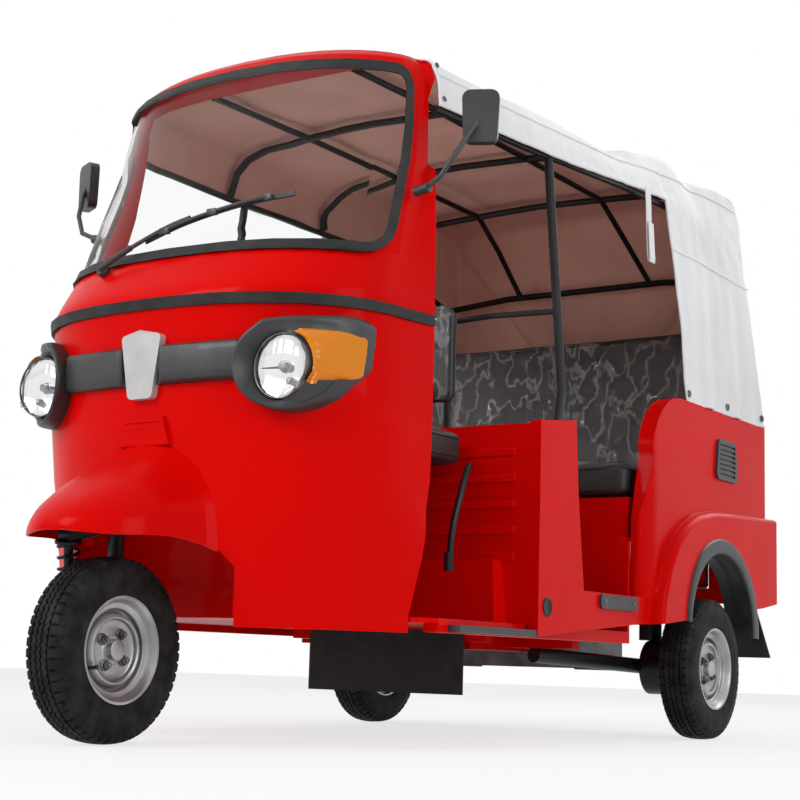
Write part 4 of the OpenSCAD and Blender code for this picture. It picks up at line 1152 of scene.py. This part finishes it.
# %% Clear delivery film with painted highlights
clear_film = new_finish("clear_film", (0.80, 0.81, 0.82), 0.13, specular_ior_level=1.0, alpha=0.15)
add_bump(clear_film, noise_of(clear_film, 14, 4), 0.006)
# The whitish streaks of alpha along one level of a noise are painted highlights: they stand in for the
# glints on the film's creases.
painted_glint_streaks = clear_film.node_tree.nodes.new("ShaderNodeValToRGB")
painted_glint_streaks.color_ramp.elements[0].position, painted_glint_streaks.color_ramp.elements[1].position = 0.462, 0.538
painted_glint_streaks.color_ramp.elements.new(0.5)
for stop, seen in zip(painted_glint_streaks.color_ramp.elements, (0.05, 0.30, 0.05)):
    stop.color = (seen, seen, seen, 1)
clear_film.node_tree.links.new(noise_of(clear_film, 15, 8, (1, 1, 0.6)), painted_glint_streaks.inputs["Fac"])
clear_film.node_tree.links.new(painted_glint_streaks.outputs["Color"],
                               clear_film.node_tree.nodes["Principled BSDF"].inputs["Alpha"])

def film_over(node, facing, thick=0.03, cell=0.010):
    """Film over the shown side of a pad, in ridged creases that stand off it."""
    low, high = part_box(node)
    axis = 2 if abs(facing.z) > 0.5 else 1
    first, second = [k for k in range(3) if k != axis]
    steps = [round((high[k] - low[k]) / cell) for k in (first, second)]
    mesh = pads[node].data
    tree = BVHTree.FromPolygons([v.co for v in mesh.vertices], [f.vertices[:] for f in mesh.polygons])
    deselect()
    bpy.ops.mesh.primitive_grid_add(x_subdivisions=steps[0], y_subdivisions=steps[1], size=1)
    film = bpy.context.object
    for corner in film.data.vertices:
        point = Vector((0, 0, 0))
        point[first] = low[first] + (corner.co.x + 0.5) * (high[first] - low[first])
        point[second] = low[second] + (corner.co.y + 0.5) * (high[second] - low[second])
        point[axis] = high[axis] + 0.004 if facing[axis] > 0 else low[axis] - 0.004
        near, normal, _, _ = tree.find_nearest(point)
        crease = abs(noise.noise(point * 7)) + 0.5 * abs(noise.noise(point * 17 + Vector((3, 1, 7))))
        corner.co = near + normal * (0.0012 + thick * max(0.5 - crease, 0))
    handed_over(film, node + "_film", [clear_film], BODY_OF[node], angle=14)
    return film

LOW_CREASES, HIGH_CREASES = 0.012, 0.036  # how strongly the film ridges up, in metres
for node, (axis, facing) in FACE_OF.items():
    film_over(node, facing, LOW_CREASES if node == "driver_seat" else HIGH_CREASES)
print("film on", len(FACE_OF), "pads")

# %% [markdown]
# ## Small parts on the body
# A few small things finish the body: dark flares round the rear wheel arches, a rubber gasket
# behind the rear lid, a rubber plug in each side sill, screws on the step plates, the
# hand lever beside the driver's seat, and pressed ribs on the partition. Flares and gasket
# take their places from the solids. Plugs and screws stand at given places, and the lever's route is a
# given list.

# %% Flares round the rear wheel arches
arch_low, arch_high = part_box("arch_trims")
ARCH_RADIUS = 0.238
arch_middle = Vector((0, (arch_low.y + arch_high.y) / 2, arch_high.z - ARCH_RADIUS))
FLARE = [
    (-0.006, 0.000), (0.004, 0.000), (0.0075, 0.004), (0.0085, 0.014), (0.0085, 0.030),
    (0.0065, 0.040), (0.001, 0.044),
    (-0.006, 0.044)]  # metres outboard of the haunch, metres beyond the arch
STEPS = 48

def flare_place(ring, turn):
    out, wider = FLARE[ring]
    angle = math.radians(-2 + 176 * turn / STEPS)
    narrow = 1 - 0.5 * max(0, turn / STEPS - 0.72) / 0.28
    radius = ARCH_RADIUS - 0.001 + wider * narrow
    return Vector((arch_high.x + out, arch_middle.y + radius * math.cos(angle),
                   arch_middle.z + radius * math.sin(angle)))

deselect()
bpy.ops.mesh.primitive_grid_add(x_subdivisions=STEPS, y_subdivisions=len(FLARE) - 1, size=1)
flare = bpy.context.object
for corner in flare.data.vertices:
    corner.co = flare_place(round((corner.co.y + 0.5) * (len(FLARE) - 1)),
                            round((corner.co.x + 0.5) * STEPS))
edit_all(flare)
bpy.ops.mesh.select_mode(type="EDGE")
bpy.ops.mesh.region_to_loop()
bpy.ops.mesh.edge_face_add()
bpy.ops.mesh.select_mode(type="VERT")
back_to_object()
cleaned(flare)
handed_over(joined([flare, mirrored_copy(flare)]), "arch_flares", [grained_plastic], "body")

# %% Gasket behind the rear lid
lid_low, lid_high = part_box("rear_lid")
GASKET = 0.0055
ring_y = lid_low.y - 0.002
ring = [Vector((x, ring_y, z)) for x, z in [(lid_low.x, lid_low.z), (lid_high.x, lid_low.z),
                                            (lid_high.x, lid_high.z),
                                            (lid_low.x, lid_high.z), (lid_low.x, lid_low.z)]]
gasket = joined([piped([a, b], GASKET, 2) for a, b in zip(ring, ring[1:])])
handed_over(gasket, "lid_gasket", [seal_rubber], "body")

# %% Plugs, screws and the hand lever
small = []
for side in (1, -1):
    plug = turned([(-0.004, 0.0235), (0.0015, 0.0245), (0.003, 0.0225), (0.003, 0.016),
                   (0.0015, 0.0135), (0.0015, 0.0)],
                  at(side * 598, -150, 345), (side, 0, 0), 32)
    small.append(plug)
handed_over(joined(small), "sill_plugs", [seal_rubber], "body")
screws = []
for side in (1, -1):
    for along_y, height in [(160, 373), (332, 373)]:
        screws.append(turned([(0, 0.0062), (0.0018, 0.0058), (0.003, 0.004), (0.0034, 0.0018),
                              (0.0026, 0.0)],
                             at(side * 606, along_y, height), (side, 0, 0), 18))
handed_over(joined(screws), "step_screws", [dark_steel], "body")
lever_route = smooth_line([at(452, -300, 690), at(462, -330, 668), at(466, -362, 610),
                           at(462, -384, 540), at(458, -392, 470),
                           at(456, -392, 420)], 6)
lever = joined([piped(lever_route, 0.0085, 3), piped([lever_route[-1] + Vector((0, 0, 0.045)),
                                                      lever_route[-1]], 0.0125, 3)])
handed_over(lever, "hand_lever", [black_enamel], "body")

# %% Ribs pressed into the partition
RIB_HEIGHTS = [470, 536, 602, 668, 734]
ribs = []
for height in RIB_HEIGHTS:
    for side in (1, -1):
        ends = sorted((side * 30, side * 528))
        ribs.append(block(at(ends[0], -203, height - 11), at(ends[1], -195, height + 11), 0.0055, 4))
handed_over(joined(ribs), "partition_ribs", [red_enamel], "body", angle=50)
print("flares, gasket, plugs, screws, lever and", len(ribs), "ribs in place")

# %% [markdown]
# ## Wiper
# The wiper has a tapered arm on a capped pivot, a sprung holder with three claws and a rubber
# blade that lies on the glass. The arm and holder are pipes along the two lines of the plan,
# and the blade is a flat strip along the same line as its holder.

# %% Arm, holder and blade
arm_line = smooth_line([at(-200, -974, 1117), at(-120, -975, 1152), at(0, -970, 1196),
                        at(70, -962, 1216)], 6)
blade_line = smooth_line([at(-60, -966, 1172), at(60, -960, 1206), at(200, -934, 1238),
                          at(320, -886, 1262)], 8)
rubber_blade = band(blade_line, (0, 0.25, 0.97), 0.013, 0.005)
holder = piped([point + Vector((0, -0.006, 0.001)) for point in blade_line[3:-3]], 0.0044, 3)
claws = [block(point - Vector((0.014, 0.010, 0.007)), point + Vector((0.014, 0.002, 0.009)), 0.002, 2)
         for point in (blade_line[4], blade_line[12], blade_line[-5])]
arm = [piped(arm_line[:8], 0.0078, 3), piped(arm_line[6:], 0.0054, 3)]
pivot_cap = turned([(0, 0.015), (0.010, 0.015), (0.017, 0.011), (0.020, 0.0)], at(-200, -956, 1113),
                   (0, -1, 0.25), 28)
spindle = piped([at(-200, -918, 1106), at(-200, -968, 1117)], 0.0095, 3)
handed_over(joined([rubber_blade, holder, *claws, *arm, pivot_cap, spindle]), "wiper_arm_and_blade",
            [grained_plastic], "body",
            ["wiper"])
print("wiper blade", round(math.dist(blade_line[0], blade_line[-1]), 2), "m long")
